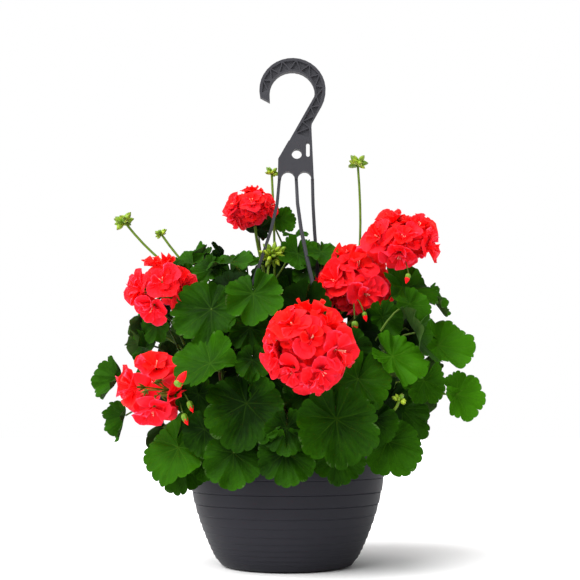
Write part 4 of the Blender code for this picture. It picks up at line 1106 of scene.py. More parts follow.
def draw_leaf(piece, leaf, joint, bulge, rings, cuts, seed, tone):
    """The blade, whose two faces meet at its edge, and its petiole."""
    rng = random.Random(seed)
    angles = leaf_angles(cuts)
    edge = leaf_edge(angles, rng)
    share = (0.05 + 0.95 * np.linspace(0, 1, rings) ** 0.9)[:, None]
    turn = np.radians(angles)[None, :]
    reach = edge[None, :] * share
    out = (LEAF_SIDE + LEAF_TIP * np.cos(turn)) * reach
    x, y = out * np.sin(turn), out * np.cos(turn)
    relief, flutes = leaf_relief(angles, share, x, y, rng)
    height = leaf.cup * reach ** 2 * (1 - CUP_LEAN * np.cos(turn))
    height += leaf.wave * reach ** 2 * np.cos(3 * turn + leaf.phase)
    height = height + relief
    height += flutes
    maps = np.stack([x, y], -1)
    x = x / leaf.steep
    height += leaf.fold * np.abs(x)
    axes = np.array(leaf.frame)
    upper = np.array(leaf.junction) + np.stack([x, y, height], -1) * leaf.radius @ axes.T
    thick = LEAF_THICKNESS * (1 - share ** 8)[..., None] * np.ones_like(upper)
    lower = upper - thick * axes[:, 2]
    patches = np.interp(angles, LOBE_MIDDLES, [rng.uniform(*PATCH_SHADE) for _ in LOBE_MIDDLES])[None, :]
    # Painted shade in the hollows and painted light on the raised parts, taken from the relief.
    painted_hollow_shade = PAINTED_HOLLOW_SHADE * np.clip(relief, -0.2, 0.2)
    tones = tone + patches * share + EDGE_SHADE * share ** 10 + painted_hollow_shade
    count = len(angles)
    faces = quads(rings, count, closed=True)
    piece.add(upper, faces[:, ::-1], maps, tones, UPPER)
    piece.add(lower, faces, maps, tones, UNDER)
    piece.add(upper[0], [list(range(count))[::-1]], maps[0], tones[0], UPPER)
    line = leaf.stalk_line(joint, bulge, 9)
    line[0] = line[0] - leaf.frame.col[2] * 0.2 * MM
    radii = [(1.1 + 0.07 * k) * MM for k in range(9)]
    round_stalk(piece, line, radii, 7, 0.35 + 0.5 * tone, STALK)


STEM_POINTS = 18
STEM_TONE = 0.15
STALK_TONE = 0.75
WIDER_STALK = 1.1
NARROWEST_STALK = 1.65 * MM
# Where the further buds of a cluster point: beside its own, or down and to the front where it nods.
BESIDE = Vector((0.2, 0.1, 0))
NODDING = Vector((0.15, -0.75, -0.6))
LONE_BUD = Vector((0.8, -0.5, 0.35))


def draw_shoot(shoot, finishes):
    piece = Piece(shoot.name + "_foliage", *finishes)
    for k, (leaf, joint, bulge) in enumerate(shoot.leaves):
        draw_leaf(piece, leaf, joint, bulge, LEAF_RINGS, TOOTH_CUTS, f"{shoot.name} {k}", leaf.tone)
    line = [shoot.foot] + shoot.above(STEM_POINTS)
    radii = [SHOOT_RADIUS * (1 - 0.3 * k / STEM_POINTS) for k in range(len(line))]
    round_stalk(piece, line, radii, 12, STEM_TONE, STALK)
    for line, radius in shoot.stalks:
        wide = max(WIDER_STALK * radius, NARROWEST_STALK)
        radii = [wide * (1.0 + 0.22 * (k / len(line)) ** 4) for k in range(len(line))]
        round_stalk(piece, line, radii, 9, STALK_TONE, STALK)
    for cluster in shoot.clusters:
        draw_cluster(piece, *cluster)
    return piece


def draw_spindle(piece, base, way, length, width, tone, finish, ribs=0.08):
    """A closed bud with a pointed tip, slightly ribbed by its sepals."""
    rows, sides = 8, 10
    axes = np.array(blade_frame(way, 0))
    rise = np.linspace(0, 1, rows)[:, None]
    turn = np.linspace(0, 2 * math.pi, sides, endpoint=False)[None, :]
    wide = width * (np.sin(math.pi * rise ** 0.75) ** 0.8 * 0.95 + 0.05) * (1 + ribs * np.cos(5 * turn))
    local = np.stack([wide * np.cos(turn), wide * np.sin(turn), length * rise * np.ones_like(turn)], -1)
    maps = np.stack([turn / 6.283 * np.ones_like(rise), rise * np.ones_like(turn)], -1)
    piece.add(np.array(base) + local @ axes.T, quads(rows, sides, closed=True), maps, tone, finish)


def draw_cluster(piece, middle, axis, radius, count, nodding):
    """A cluster of plump green buds on short stalks: those of the solid, and twice as many more."""
    more = NODDING if nodding else axis + BESIDE
    full = radius if nodding else 1.22 * radius
    for k, way in enumerate(bud_ways(axis, count) + bud_ways(more.normalized(), 2 * count)):
        size = 1.0 if k < count else 0.88
        reach = 0.62 if nodding and k >= count else 0.3
        near = middle + way * reach * full * size
        line = [middle - axis * radius * 0.5, middle.lerp(near, 0.3), near]
        round_stalk(piece, line, [0.55 * MM] * 3, 6, 0.7, STALK)
        tone = 0.1 + 0.25 * (k % 4) + (0.25 if nodding else 0)
        wide = (0.22 if nodding else 0.27) * full * size
        draw_spindle(piece, near - way * 0.1 * full, way, 0.95 * full * size, wide, tone, BUD)
    if nodding:
        way = LONE_BUD.normalized()
        draw_spindle(piece, middle + way * 0.5 * radius, way, 0.8 * radius, 0.2 * radius, 0.9, BUD)
        draw_spindle(piece, middle + way * 1.0 * radius, way, 0.5 * radius, 0.17 * radius, 0.3, BUD)


# Flowers

PETAL_ROWS = 8
PETAL_COLUMNS = 11
# How a petal departs from a flat fan, in shares of its length, each drawn between two limits.
PETAL_FAN = (46, 54)
PETAL_NOTCH = (-0.02, 0.06)
PETAL_REACH = (0.94, 1.06)
PETAL_CURL = (-0.05, 0.3)
PETAL_DISH = (0.0, 0.25)
PETAL_WAVES = (3.0, 6.5)
PETAL_RUFFLE = (0.05, 0.12)
PETAL_TWIST = (0.04, 0.12)
CLAW_DEPTH = 0.3
PETAL_THICKNESS = 0.4 * MM
OUTER_RISE = (0.38, 0.66)
INNER_RISE = (0.7, 1.15)


def draw_petal(piece, root, axes, length, spin, rise, tone, rng):
    """One broad petal that fans out from its claw, ruffled towards its edge, where its two faces meet."""
    along = np.linspace(0, 1, PETAL_ROWS)[:, None]
    across = np.sin(np.linspace(-1, 1, PETAL_COLUMNS) * math.pi / 2)[None, :]
    notch = rng.uniform(*PETAL_NOTCH)
    reach = 1 - 0.4 * np.abs(across) ** 2.8 - notch * np.exp(-(across * 3.5) ** 2)
    fan = math.radians(rng.uniform(*PETAL_FAN)) * across * (0.82 + 0.18 * along)
    far = along * reach * rng.uniform(*PETAL_REACH) * (1 - 0.45 * max(0, rise - 0.6))
    height = -CLAW_DEPTH + rise * along ** 0.8 - rng.uniform(*PETAL_CURL) * along ** 3
    height = height + rng.uniform(*PETAL_DISH) * across ** 2 * along ** 2
    waves = rng.uniform(*PETAL_WAVES)
    height = height + rng.uniform(*PETAL_RUFFLE) * along ** 2 * np.sin(across * waves + rng.uniform(0, 6.28))
    height = height + rng.uniform(*PETAL_TWIST) * across * along
    turn = fan + spin
    local = np.stack([far * np.sin(turn), far * np.cos(turn), height * np.ones_like(turn)], -1)
    frame_axes = np.array(axes)
    upper = np.array(root) + length * local @ frame_axes.T
    maps = np.stack([across * np.ones_like(along), along * np.ones_like(across)], -1)
    rim = np.abs(maps).max(-1)
    thick = PETAL_THICKNESS * (1 - rim ** 6)[..., None]
    lower = upper - thick * frame_axes[:, 2]
    faces = quads(PETAL_ROWS, PETAL_COLUMNS)
    piece.add(upper, faces[:, ::-1], maps, tone, PETAL)
    piece.add(lower, faces, maps, tone, PETAL)


def draw_floret(piece, root, axes, radius, seed, inner, tone):
    """Five broad petals, an inner whorl of smaller ones, and the pale stamens."""
    rng = random.Random(seed)
    start = rng.uniform(0, 6.28)
    for number in range(5):
        spin = start + math.radians(72 * number) + rng.uniform(-0.14, 0.14)
        shade = tone + rng.uniform(-0.3, 0.3)
        draw_petal(piece, root, axes, radius * OUTER_PETAL, spin, rng.uniform(*OUTER_RISE), shade, rng)
    for turn in turns(inner):
        spin = start + 0.6 + turn + rng.uniform(-0.25, 0.25)
        shade = tone - 0.1 + rng.uniform(-0.25, 0.25)
        draw_petal(piece, root, axes, radius * INNER_PETAL, spin, rng.uniform(*INNER_RISE), shade, rng)
    normal = axes.col[2]
    for _ in range(rng.choice((0, 2, 3))):
        way = (normal + axes @ Vector((rng.uniform(-1, 1), rng.uniform(-1, 1), 0)) * 0.3).normalized()
        base = root - normal * 0.2 * radius
        end = base + way * radius * 0.42
        round_stalk(piece, [base, base.lerp(end, 0.5), end], [0.35 * MM, 0.3 * MM, 0.25 * MM], 5, 0.9, STAMEN)
        draw_spindle(piece, end - way * 0.5 * MM, way, 1.8 * MM, 0.6 * MM, 0.9, STAMEN)


def draw_calyx(piece, root, normal, radius):
    """The green calyx and the short stalk behind a floret."""
    base = root - normal * 0.75 * radius
    line = [base - normal * 3 * MM, base, root - normal * 0.45 * radius, root - normal * 0.12 * radius]
    round_stalk(piece, line, [0.6 * MM, 0.9 * MM, 1.7 * MM, 1.2 * MM], 8, 0.8, STALK)
    for out in round_about(normal, 5):
        way = (out * 0.55 + normal).normalized()
        draw_spindle(piece, base + normal * 1.0 * MM, way, 0.42 * radius, 1.0 * MM, STALK_TONE, STALK)


def more_directions(head, count, apart):
    """Directions between the florets of the solid, where further florets fill the head."""
    found = []
    axes = blade_frame(head.axis, 0)
    for k in range(count):
        polar = math.acos(1 - 1.55 * (k + 0.5) / count)
        way = polar_way(axes, polar, k * math.radians(SPIRAL))
        if all(way.angle(other) > math.radians(apart) for other in head.directions + found):
            found.append(way)
    return found


def draw_red_bud(piece, head, row):
    """A red bud that hangs beside its head, in a green calyx on a thin arching stalk."""
    across, up, in_front, length, lean, covered = row
    base = seen(across * MM, up * MM, in_front * MM)
    way = bud_way(lean)
    length *= MM
    start = head.top
    bend = start.lerp(base, 0.6) + Vector((0, -6 * MM, 8 * MM))
    line = curve(start, start.lerp(bend, 0.6), bend - way * 4 * MM, base - way * 0.1 * length, 9)
    round_stalk(piece, line, [0.75 * MM] * 9, 6, 0.4, STALK)
    draw_spindle(piece, base, way, length, 0.25 * length, 0.3, PETAL, 0.04)
    for out in round_about(way, 5):
        root = base - way * 0.12 * length + out * 0.08 * length
        reach = (0.4 + 0.45 * covered) * length
        draw_spindle(piece, root, (way + out * 0.16).normalized(), reach, 0.17 * length, 0.15, BUD, 0.0)


def floret_painted_light_tone(lightest, axes):
    """Florets that face up are drawn darker and more scarlet, those that face down pinker: painted light, for
    the dimmer, bluish light under a head.
    """
    return lightest - 0.35 * axes.col[2].z


def draw_head(head, number, finishes):
    piece = Piece(head.name + "_petals", *finishes)
    rng = random.Random(head.name)
    tries, apart, inner, larger = HEAD_FILLING[number]
    for k, (root, axes, radius) in enumerate(head.places):
        root = root.lerp(head.middle, FLORET_SINK)
        radius *= larger
        draw_floret(piece, root, axes, radius, f"{head.name} {k}", inner, floret_painted_light_tone(0.45, axes))
        draw_calyx(piece, root, axes.col[2], radius)
        draw_pedicel(piece, head, root - axes.col[2] * 0.75 * radius)
    fillings = [(way, FILLING_REACH, 0.4) for way in more_directions(head, tries, apart)]
    fillings += [(facing(*row[:2]), row[2], row[3]) for row in SET_FLORETS.get(number, ())]
    for k, (way, reach, size) in enumerate(fillings):
        axes = blade_frame(head.normal(way), rng.uniform(0, 72))
        root, radius = head.spread(way, reach), size * head.radius
        draw_floret(piece, root, axes, radius, f"{head.name} more {k}", 2, floret_painted_light_tone(0.4, axes))
    for row in RED_BUDS.get(number, ()):
        draw_red_bud(piece, head, row)
    return piece


def draw_pedicel(piece, head, end):
    start = head.top
    bend = start.lerp(head.middle, 0.45)
    line = curve(start, start.lerp(bend, 0.6), bend, end, 7)
    round_stalk(piece, line, [0.8 * MM] * 7, 6, STALK_TONE, STALK)


# Pot, soil and hanger

def pot_radius(height):
    return RIM_RADIUS - TAPER * (1 - height / POT_HEIGHT) ** TAPER_POWER


def band_heights():
    heights = [FIRST_BAND]
    step = FIRST_BAND_HEIGHT
    while heights[-1] + step < POT_HEIGHT - LIP_HEIGHT:
        heights.append(heights[-1] + step)
        step *= BAND_GROWTH
    return heights


def turned_piece(profile, sides):
    """Points and quads of a surface of revolution whose profile is a list of radius and height."""
    turn = np.linspace(0, 2 * math.pi, sides, endpoint=False)[None, :]
    radius, height = (np.array(column)[:, None] for column in zip(*profile))
    points = np.stack([radius * np.cos(turn), radius * np.sin(turn), height * np.ones_like(turn)], -1)
    return points, quads(len(profile), sides, closed=True)


def inside_radius(height):
    return pot_radius(height) - BAND_STEP - WALL


def pot_profile():
    """The outside from the foot to the lip, each band overhanging the one below, then the inside."""
    foot = FOOT_RADIUS - FOOT_ROUNDING
    profile = [(0.5 * MM, 1.2 * MM), (foot - 6 * MM, 1.2 * MM), (foot - 4 * MM, 0)]
    profile += [(foot - 1 * MM, 0), (foot + 0.4 * MM, 0.5 * MM)]
    lip = POT_HEIGHT - LIP_HEIGHT
    edges = [1.5 * MM] + band_heights() + [lip]
    for low, high in zip(edges, edges[1:]):
        for share in BAND_SHARES:
            height = low + (high - low) * share
            swell = BAND_STEP * (0.5 - 1.0 * share)
            groove = GROOVE.get(share, 0) * min(1, (high - low) / GROOVE_BAND) ** 1.5
            rounded = FOOT_ROUNDING * max(0, 1 - height / ROUNDED_TO) ** 2
            profile.append((pot_radius(height) + swell - groove - rounded, height))
    outer = RIM_RADIUS + LIP_WIDTH
    profile += [(RIM_RADIUS, lip), (outer - 0.6 * MM, lip + 0.1 * MM), (outer, lip + 0.8 * MM)]
    profile += [(outer, POT_HEIGHT - 1.2 * MM), (outer - 0.4 * MM, POT_HEIGHT - 0.3 * MM)]
    profile += [(outer - 1.3 * MM, POT_HEIGHT), (RIM_RADIUS - WALL + 0.6 * MM, POT_HEIGHT)]
    profile += [(RIM_RADIUS - WALL, POT_HEIGHT - 0.8 * MM)]
    profile += [(inside_radius(height), height) for height in (SOIL_TOP,) + INSIDE_HEIGHTS]
    return profile + [(foot - WALL, WALL), (0.5 * MM, WALL)]


def plain_box(centre, size, turn):
    made = bmesh.new()
    bmesh.ops.create_cube(made, size=1)
    bmesh.ops.transform(made, verts=made.verts, matrix=Matrix.Translation(centre)
                        @ Matrix.Rotation(turn, 4, "Z") @ Matrix.Diagonal((*size, 1)))
    return made


def cut_or_join(obj, meshes, operation):
    """One Boolean with a collection of helper meshes, applied."""
    group = bpy.data.collections.new("helpers")
    bpy.context.scene.collection.children.link(group)
    helpers = []
    for made in meshes:
        mesh = bpy.data.meshes.new("helper")
        made.to_mesh(mesh)
        made.free()
        helpers.append(bpy.data.objects.new("helper", mesh))
        group.objects.link(helpers[-1])
    joined = obj.modifiers.new(operation, "BOOLEAN")
    joined.operation = operation
    joined.operand_type = "COLLECTION"
    joined.collection = group
    joined.solver = "EXACT"
    bpy.context.view_layer.update()
    mesh = bpy.data.meshes.new_from_object(obj.evaluated_get(bpy.context.evaluated_depsgraph_get()))
    obj.modifiers.clear()
    obj.data = mesh
    for helper in helpers:
        bpy.data.objects.remove(helper)
    bpy.data.collections.remove(group)


def make_pot(finish):
    piece = Piece("pot_shell", finish)
    points, faces = turned_piece(pot_profile(), POT_SIDES)
    piece.add(points, faces)
    count = points.shape[0]
    piece.cap(list(range(POT_SIDES))[::-1])
    piece.cap([(count - 1) * POT_SIDES + k for k in range(POT_SIDES)])
    obj = piece.make("pot_plastic", "pot")
    lugs, cuts = [], []
    for _, degrees, _ in LEGS:
        turn = math.radians(degrees)
        outwards = outward(turn)
        middle = outwards * (LEG_RADIUS + 1.5 * MM) + Vector((0, 0, LUG_TOP - LUG[2] / 2))
        lugs.append(plain_box(middle, (LUG[1], LUG[0], LUG[2]), turn))
        hole = (LEG_SECTION[0] + 2 * GAP, LEG_SECTION[1] + 2 * GAP, 4 * LUG[2])
        cuts.append(plain_box(outwards * LEG_RADIUS + Vector((0, 0, LUG_TOP)), hole, turn))
    cut_or_join(obj, lugs, "UNION")
    for angle in turns(DRAIN_COUNT):
        made = bmesh.new()
        bmesh.ops.create_cone(made, cap_ends=True, segments=24, radius1=DRAIN_RADIUS, radius2=DRAIN_RADIUS,
                              depth=4 * WALL)
        middle = Vector((DRAIN_RING * math.cos(angle), DRAIN_RING * math.sin(angle), WALL))
        bmesh.ops.translate(made, verts=made.verts, vec=middle)
        cuts.append(made)
    cut_or_join(obj, cuts, "DIFFERENCE")
    obj.data.set_sharp_from_angle(angle=math.radians(38))


def close_seams(made):
    bmesh.ops.remove_doubles(made, verts=made.verts, dist=1e-6)
    bmesh.ops.recalc_face_normals(made, faces=made.faces)


def make_soil(finish):
    """Loose compost: a bumpy top over plain sides, just inside the pot."""
    piece = Piece("compost", finish)
    inner = inside_radius(SOIL_TOP) - GAP
    radii = np.linspace(0.5 * MM, inner - 0.3 * MM, SOIL_RINGS)
    points = np.zeros((SOIL_RINGS, SOIL_SIDES, 3))
    for i, radius in enumerate(radii):
        for j, angle in enumerate(np.linspace(0, 2 * math.pi, SOIL_SIDES, endpoint=False)):
            x, y = radius * math.cos(angle), radius * math.sin(angle)
            rough = fractal(Vector((x, y, 0)) * CRUMBS, 0.6, 2.2, 4) * CRUMB_HEIGHT
            points[i, j] = x, y, soil_height(radius) - 1.2 * MM + rough
    piece.add(points, quads(SOIL_RINGS, SOIL_SIDES, closed=True))
    piece.cap(list(range(SOIL_SIDES))[::-1])
    shell = [(inner, SOIL_TOP - 1 * MM)]
    shell += [(inside_radius(height) - GAP, height) for height in INSIDE_HEIGHTS]
    shell += [(FOOT_RADIUS - WALL - 2 * GAP, WALL + GAP), (0.5 * MM, WALL + GAP)]
    outer, _ = turned_piece(shell, SOIL_SIDES)
    piece.add(np.concatenate([points[-1:], outer]), quads(len(shell) + 1, SOIL_SIDES, closed=True))
    piece.cap([piece.count - SOIL_SIDES + k for k in range(SOIL_SIDES)])
    reshape(piece.make("potting_soil", "potting_soil").data, close_seams)


def flatten(made):
    """Merges points that lie together, and faces that lie in one plane."""
    bmesh.ops.remove_doubles(made, verts=made.verts, dist=0.02 * MM)
    bmesh.ops.dissolve_limit(made, angle_limit=math.radians(1.0), verts=made.verts, edges=made.edges)


def hanger_part(name):
    """One solid of the hanger, lengthened a little into the one above or below it."""
    made = bmesh.new()
    made.from_mesh(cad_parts[name].data)
    bmesh.ops.remove_doubles(made, verts=made.verts, dist=1e-6)
    for vert in made.verts:
        if name == HANGER_NODES[0] and vert.co.z < HOOK_SEAM + 0.1 * MM:
            vert.co.z -= GAP + SEAM_OVERLAP
        if name in HANGER_NODES[2:] and vert.co.z > NECK_BOTTOM - 2 * GAP:
            vert.co.z += GAP + SEAM_OVERLAP
    bmesh.ops.dissolve_limit(made, angle_limit=math.radians(1.0), verts=made.verts, edges=made.edges)
    return made


def make_hanger(finish):
    """The five solids of the hanger as the one moulding that it is, with its edges rounded."""
    parts = [hanger_part(name) for name in HANGER_NODES]
    mesh = bpy.data.meshes.new("hanger_moulding")
    parts[0].to_mesh(mesh)
    parts[0].free()
    obj = add_object("hanger_moulding", mesh)
    cut_or_join(obj, parts[1:], "UNION")
    reshape(obj.data, flatten)
    obj.data.materials.clear()
    obj.data.materials.append(finish)
    rounded = obj.modifiers.new("rounded", "BEVEL")
    rounded.width = EDGE_ROUNDING
    rounded.segments = 2
    rounded.limit_method = "ANGLE"
    rounded.angle_limit = math.radians(32)
    rounded.harden_normals = False
    obj.data.shade_smooth()
    obj.data.set_sharp_from_angle(angle=math.radians(60))
    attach(obj, "root")
    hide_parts(*HANGER_NODES)


# Materials

def add_node(tree, kind, inputs=None, **settings):
    """Adds a node. Each of its inputs is linked, where it is given a socket, or else set."""
    made = tree.nodes.new(kind)
    for name, value in settings.items():
        setattr(made, name, value)
    for name, value in (inputs or {}).items():
        if isinstance(value, bpy.types.NodeSocket):
            tree.links.new(value, made.inputs[name])
        else:
            made.inputs[name].default_value = value
    return made


class Shader:
    """A node material with a Principled shader, and short ways to add nodes to it."""

    def __init__(self, name, roughness, colour=(0.5, 0.5, 0.5, 1)):
        self.material = bpy.data.materials.new(name)
        self.material.use_nodes = True
        self.tree = self.material.node_tree
        self.main = self.tree.nodes["Principled BSDF"]
        self.set("Base Color", colour)
        self.set("Roughness", roughness)

    def set(self, socket, value):
        self.main.inputs[socket].default_value = value

    def link(self, value, socket):
        """Links a value to a socket of the Principled shader."""
        self.tree.links.new(value, self.main.inputs[socket])

    def node(self, kind, inputs=None, **settings):
        return add_node(self.tree, kind, inputs, **settings)

    def math(self, operation, first, second=0.0, third=0.0):
        return self.node("ShaderNodeMath", {0: first, 1: second, 2: third}, operation=operation).outputs[0]

    def scaled(self, value, factor, added=0.0):
        """A value times a factor plus what is added, each a number or a socket."""
        return self.math("MULTIPLY_ADD", value, factor, added)

    def band(self, value, low, high, first=0.0, last=1.0):
        """A smooth step of a value between two limits."""
        inputs = {"Value": value, "From Min": low, "From Max": high, "To Min": first, "To Max": last}
        return self.node("ShaderNodeMapRange", inputs, interpolation_type="SMOOTHSTEP").outputs["Result"]

    def combined(self, x, y, z):
        return self.node("ShaderNodeCombineXYZ", {"X": x, "Y": y, "Z": z}).outputs["Vector"]

    def noise(self, scale, detail=3.0, roughness=0.55, vector=None):
        inputs = {"Scale": scale, "Detail": detail, "Roughness": roughness}
        inputs["Vector"] = vector or self.node("ShaderNodeTexCoord").outputs["Object"]
        return self.node("ShaderNodeTexNoise", inputs).outputs["Fac"]

    def mix(self, share, first, second, clamped=True):
        """A mix of two colours, each a colour or a socket."""
        inputs = {0: share, 6: first, 7: second}
        return self.node("ShaderNodeMix", inputs, data_type="RGBA", clamp_factor=clamped).outputs[2]

    def map(self):
        return self.node("ShaderNodeUVMap", uv_map="surface").outputs["UV"]

    def surface(self):
        """X and Y of the surface's own map."""
        parts = self.node("ShaderNodeSeparateXYZ", {"Vector": self.map()})
        return parts.outputs["X"], parts.outputs["Y"]

    def tone(self):
        return self.node("ShaderNodeAttribute", attribute_name="tone").outputs["Fac"]

    def finish(self, colour, relief, strength, distance, specular=0.5, glow=None):
        """Gives the shader its colour, bump, shine and the light under its surface. Returns the material."""
        self.link(colour, "Base Color")
        bump = self.node("ShaderNodeBump", {"Strength": strength, "Distance": distance, "Height": relief})
        self.link(bump.outputs["Normal"], "Normal")
        self.set("Specular IOR Level", specular)
        if glow:
            for socket, value in zip(("Weight", "Radius", "Scale"), glow):
                self.set("Subsurface " + socket, value)
        return self.material


def leaf_veins(shader):
    """The seven main veins from the stalk, and the side veins that branch off them, as two masks."""
    x, y = shader.surface()
    out = shader.math("SQRT", shader.scaled(x, x, shader.math("MULTIPLY", y, y)))
    bent = shader.scaled(shader.noise(2.2, 1, vector=shader.map()), 0.22, -0.11)
    turn = shader.math("ABSOLUTE", shader.math("ADD", shader.math("ARCTAN2", x, y), bent))
    off = shader.math("PINGPONG", turn, math.radians(LOBE))
    across = shader.math("MULTIPLY", out, shader.math("SINE", off))
    along = shader.math("MULTIPLY", out, shader.math("COSINE", off))
    wide = shader.scaled(out, -0.012, 0.022)
    main = shader.math("SUBTRACT", 1.0, shader.band(shader.math("DIVIDE", across, wide), 0.2, 1.2))
    slanted = shader.math("SUBTRACT", along, shader.math("MULTIPLY", across, 0.9))
    side_way = shader.math("PINGPONG", slanted, 0.085)
    side = shader.math("SUBTRACT", 1.0, shader.band(side_way, 0.003, 0.016))
    side = shader.math("MULTIPLY", side, shader.band(out, 0.15, 0.45))
    return out, main, side


def leaf_material(name, dark, light, vein, roughness):
    shader = Shader(name, roughness)
    out, main, side = leaf_veins(shader)
    tone = shader.tone()
    share = shader.scaled(shader.noise(30, 3), 0.6, shader.math("SUBTRACT", tone, 0.3))
    # Darker towards the middle of the blade, where it dips to the stalk, and lighter out towards the edge:
    # painted shade in the hollow.
    share = shader.math("ADD", share, shader.band(out, 0.05, 0.9, -0.3, 0.16))
    x, y = shader.surface()
    turn = shader.math("MULTIPLY", shader.math("ARCTAN2", x, y), 5.0)
    rays = shader.combined(turn, out, shader.math("MULTIPLY", tone, 9.0))
    streaks = shader.noise(2.0, 2, vector=rays)
    share = shader.math("ADD", share, shader.scaled(streaks, 0.7, -0.35))
    share = shader.math("MAXIMUM", shader.scaled(share, 0.8, 0.1), 0.0)
    colour = shader.mix(share, dark, light, clamped=False)
    lines = shader.math("MAXIMUM", shader.math("MULTIPLY", main, 0.3), shader.math("MULTIPLY", side, 0.12))
    lines = shader.math("MULTIPLY", lines, shader.scaled(tone, 0.65, 0.35))
    lines = shader.math("MULTIPLY", lines, shader.band(out, 0.2, 1.0, 1.0, 0.35))
    fine = shader.noise(420, 2)
    shader.link(shader.scaled(fine, 0.16, roughness - 0.08), "Roughness")
    veins = shader.scaled(main, 0.9, shader.math("MULTIPLY", side, 0.5))
    pucker = shader.math("MULTIPLY", shader.noise(130, 1.5), 2.2)
    relief = shader.scaled(fine, 0.25, shader.math("SUBTRACT", pucker, veins))
    return shader.finish(shader.mix(lines, colour, vein), relief, 0.6, 0.5 * MM, 0.025)


def stalk_material():
    """Stems, petioles and flower stalks: woody at the lowest tone, pale green at the highest."""
    shader = Shader("stalks", 0.5)
    tone = shader.math("ADD", shader.tone(), shader.scaled(shader.noise(60, 3), 0.5, -0.25))
    colour = shader.mix(shader.band(tone, 0.1, 0.5), WOODY, STALK_GREEN)
    colour = shader.mix(shader.band(tone, 0.5, 0.9), colour, STALK_PALE)
    glow = (0.15, (0.6, 1.0, 0.3), 1.5 * MM)
    return shader.finish(colour, shader.noise(900, 2), 0.3, 0.3 * MM, 0.15, glow)


def bud_material():
    shader = Shader("green_buds", 0.5)
    _, along = shader.surface()
    colour = shader.mix(shader.tone(), BUD_DARK, BUD_LIGHT)
    colour = shader.mix(shader.band(along, 0.7, 1.0, 0.0, 0.8), colour, BUD_TIP)
    glow = (0.2, (0.8, 1.0, 0.2), 1.5 * MM)
    return shader.finish(colour, shader.noise(800, 2), 0.3, 0.3 * MM, 0.3, glow)


def petal_material():
    shader = Shader("petal_red", 0.6)
    across, along = shader.surface()
    tone = shader.tone()
    share = shader.scaled(shader.noise(55, 2), 0.5, shader.math("SUBTRACT", tone, 0.25))
    colour = shader.mix(shader.band(share, -0.1, 1.0), PETAL_SCARLET, PETAL_PINKER)
    lengthwise = shader.math("MULTIPLY", along, 1.2)
    streaks = shader.combined(shader.math("MULTIPLY", across, 9.0), lengthwise, tone)
    lines = shader.noise(1.6, 2, vector=streaks)
    colour = shader.mix(shader.band(lines, 0.5, 0.75, 0.0, 0.22), colour, PETAL_STREAK)
    colour = shader.mix(shader.band(along, 0.2, 0.04, 0.0, 0.4), colour, PETAL_CLAW)
    shader.set("Sheen Weight", 0.03)
    shader.set("Sheen Roughness", 0.5)
    shader.set("Sheen Tint", PETAL_SHEEN)
    return shader.finish(colour, lines, 0.2, 0.4 * MM, 0.06, (0.5, (1.0, 0.1, 0.1), 3.5 * MM))


def stamen_material():
    shader = Shader("stamens", 0.6)
    colour = shader.mix(shader.tone(), STAMEN_DARK, STAMEN_LIGHT)
    return shader.finish(colour, shader.noise(1200, 2), 0.2, 0.2 * MM)


def plastic_material(name, colour, roughness, grain):
    """Moulded plastic: a fine grain, a slight cloudiness and faint scuffs."""
    shader = Shader(name, roughness)
    cloud = shader.noise(9, 3)
    speck = shader.noise(grain, 2, 0.6)
    darker, lighter = (tuple(c * share for c in colour[:3]) + (1,) for share in (0.85, 1.15))
    shader.link(shader.scaled(cloud, 0.12, shader.scaled(speck, 0.1, roughness - 0.1)), "Roughness")
    return shader.finish(shader.mix(cloud, darker, lighter), speck, 0.12, 0.15 * MM, 0.1)


def soil_material():
    shader = Shader("compost", 0.95)
    grains = shader.noise(260, 4, 0.7)
    colour = shader.mix(shader.band(grains, 0.35, 0.7), SOIL_DARK, SOIL_LIGHT)
    colour = shader.mix(shader.band(shader.noise(90, 2), 0.62, 0.72, 0.0, 0.6), colour, SOIL_FIBRE)
    return shader.finish(colour, grains, 0.8, 1.2 * MM)


# The stage

def make_floor():
    made = bmesh.new()
    bmesh.ops.create_grid(made, x_segments=1, y_segments=1, size=60)
    mesh = bpy.data.meshes.new("floor")
    made.to_mesh(mesh)
    made.free()
    mesh.materials.append(Shader("pale_floor", 0.9, FLOOR_COLOUR).material)
    floor = add_object("floor", mesh)
    floor.location.z = -0.5 * MM


def make_world():
    """White behind the object, and a softer light round it that grows towards the top and the left."""
    world = bpy.data.worlds.new("studio")
    world.use_nodes = True
    tree = world.node_tree
    place = add_node(tree, "ShaderNodeTexCoord")
    parts = add_node(tree, "ShaderNodeSeparateXYZ", {"Vector": place.outputs["Generated"]})
    slanted = {0: parts.outputs["X"], 1: AMBIENT_SLANT, 2: parts.outputs["Z"]}
    slant = add_node(tree, "ShaderNodeMath", slanted, operation="MULTIPLY_ADD")
    inputs = {"Value": slant.outputs[0], "From Min": AMBIENT_RANGE[0], "From Max": AMBIENT_RANGE[1],
              "To Min": AMBIENT[0], "To Max": AMBIENT[1]}
    rise = add_node(tree, "ShaderNodeMapRange", inputs)
    path = add_node(tree, "ShaderNodeLightPath")
    inputs = {"Factor": path.outputs["Is Camera Ray"], "A": rise.outputs["Result"], "B": 1.0}
    strength = add_node(tree, "ShaderNodeMix", inputs)
    tree.links.new(strength.outputs["Result"], tree.nodes["Background"].inputs["Strength"])
    tree.nodes["Background"].inputs["Color"].default_value = (1, 1, 1, 1)
    bpy.context.scene.world = world


def make_key():
    """A broad soft light from above the camera's left."""
    light = bpy.data.lights.new("key", "SUN")
    light.energy = KEY_POWER
    light.angle = math.radians(KEY_SPREAD)
    way = facing(*KEY_FROM)
    obj = add_object("key", light)
    obj.location = way * 2
    obj.rotation_euler = (-way).to_track_quat("-Z", "Y").to_euler()


def make_stage():
    bpy.context.scene.view_settings.view_transform = "Standard"
    make_floor()
    make_world()
    make_key()


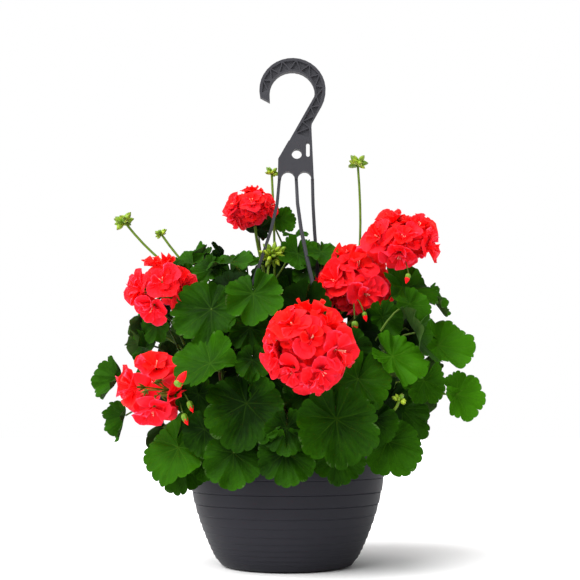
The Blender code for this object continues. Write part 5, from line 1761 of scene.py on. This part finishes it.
def make_camera():
    data = bpy.data.cameras.new("camera")
    data.sensor_width = SENSOR_WIDTH
    data.lens = FOCAL_PIXELS / PHOTO_PIXELS * SENSOR_WIDTH
    data.clip_start = 0.01
    camera = add_object("camera", data)
    camera.location = EYE
    camera.rotation_euler = (math.radians(90 + CAMERA_PITCH), 0, 0)
    bpy.context.scene.camera = camera


def place_plants():
    rng = random.Random(SEED)
    placed = Placed()
    shoots = [Shoot(k + 1, *row) for k, row in enumerate(SHOOTS)]
    for name in ("pot", "potting_soil") + HANGER_NODES:
        placed.add(name, "made", solid_of(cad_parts[name]))
    for middle, sides in FREE_ROOMS:
        room = plain_box(Vector(middle) * MM, Vector(sides) * MM, 0)
        corners = [v.co.copy() for v in room.verts]
        placed.add("room", "made", (corners, [[v.index for v in f.verts] for f in room.faces]))
        room.free()
    for shoot in shoots:
        placed.add(shoot.name, "stem", shoot.stem)
    heads = place_heads(placed, shoots, rng)
    place_buds(placed, shoots)
    for leg in LEGS:
        placed.add("sight", "sight", sight_of_leg(*leg))
    for head in heads[:FRONT_HEADS]:
        placed.add("sight", "sight", sight_of_ball(head.middle, head.radius))
    across, up, radius, _, in_front, _ = BUD_CLUSTERS[SHOWN_CLUSTER]
    cluster = seen(across * MM, up * MM, in_front * MM)
    placed.add("sight", "sight", sight_of_ball(cluster, 1.3 * radius * MM))
    place_leaves(placed, shoots, rng)
    return shoots, heads, place_inner_leaves(placed, shoots)


def make_plants():
    shoots, heads, inner = place_plants()
    top = leaf_material("leaf_upper", LEAF_DARK, LEAF_LIGHT, LEAF_VEIN, 0.55)
    under = leaf_material("leaf_under", UNDER_DARK, UNDER_LIGHT, UNDER_VEIN, 0.65)
    stalks = stalk_material()
    buds = bud_material()
    for shoot in shoots:
        draw_shoot(shoot, (top, under, stalks, buds)).make("foliage", shoot.name)
    # The inner leaves get darker copies of the leaf colours and low tones: painted shade, for the shade deep
    # in the mound.
    painted_shade_leaf = leaf_material("leaf_inner", INNER_PAINTED_SHADE_DARK, INNER_PAINTED_SHADE_LIGHT, LEAF_DARK, 0.6)
    filler = Piece("inner_leaves", painted_shade_leaf, painted_shade_leaf, stalks)
    for k, (leaf, joint, bulge) in enumerate(inner):
        tone = INNER_PAINTED_SHADE_TONE * ((k * SPREAD) % 1)
        draw_leaf(filler, leaf, joint, bulge, INNER_RINGS, TOOTH_CUTS_PLAIN, f"inner {k}", tone)
    filler.make("foliage")
    petals = (petal_material(), stamen_material(), stalks, buds)
    for number, head in enumerate(heads):
        draw_head(head, number + 1, petals).make("petals", head.name)


def main():
    make_camera()
    make_stage()
    make_plants()
    make_pot(plastic_material("pot_plastic_finish", POT_COLOUR, 0.5, 1400))
    make_soil(soil_material())
    make_hanger(plastic_material("hanger_plastic_finish", HANGER_COLOUR, 0.45, 1100))
    bpy.context.view_layer.update()
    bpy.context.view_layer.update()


main()
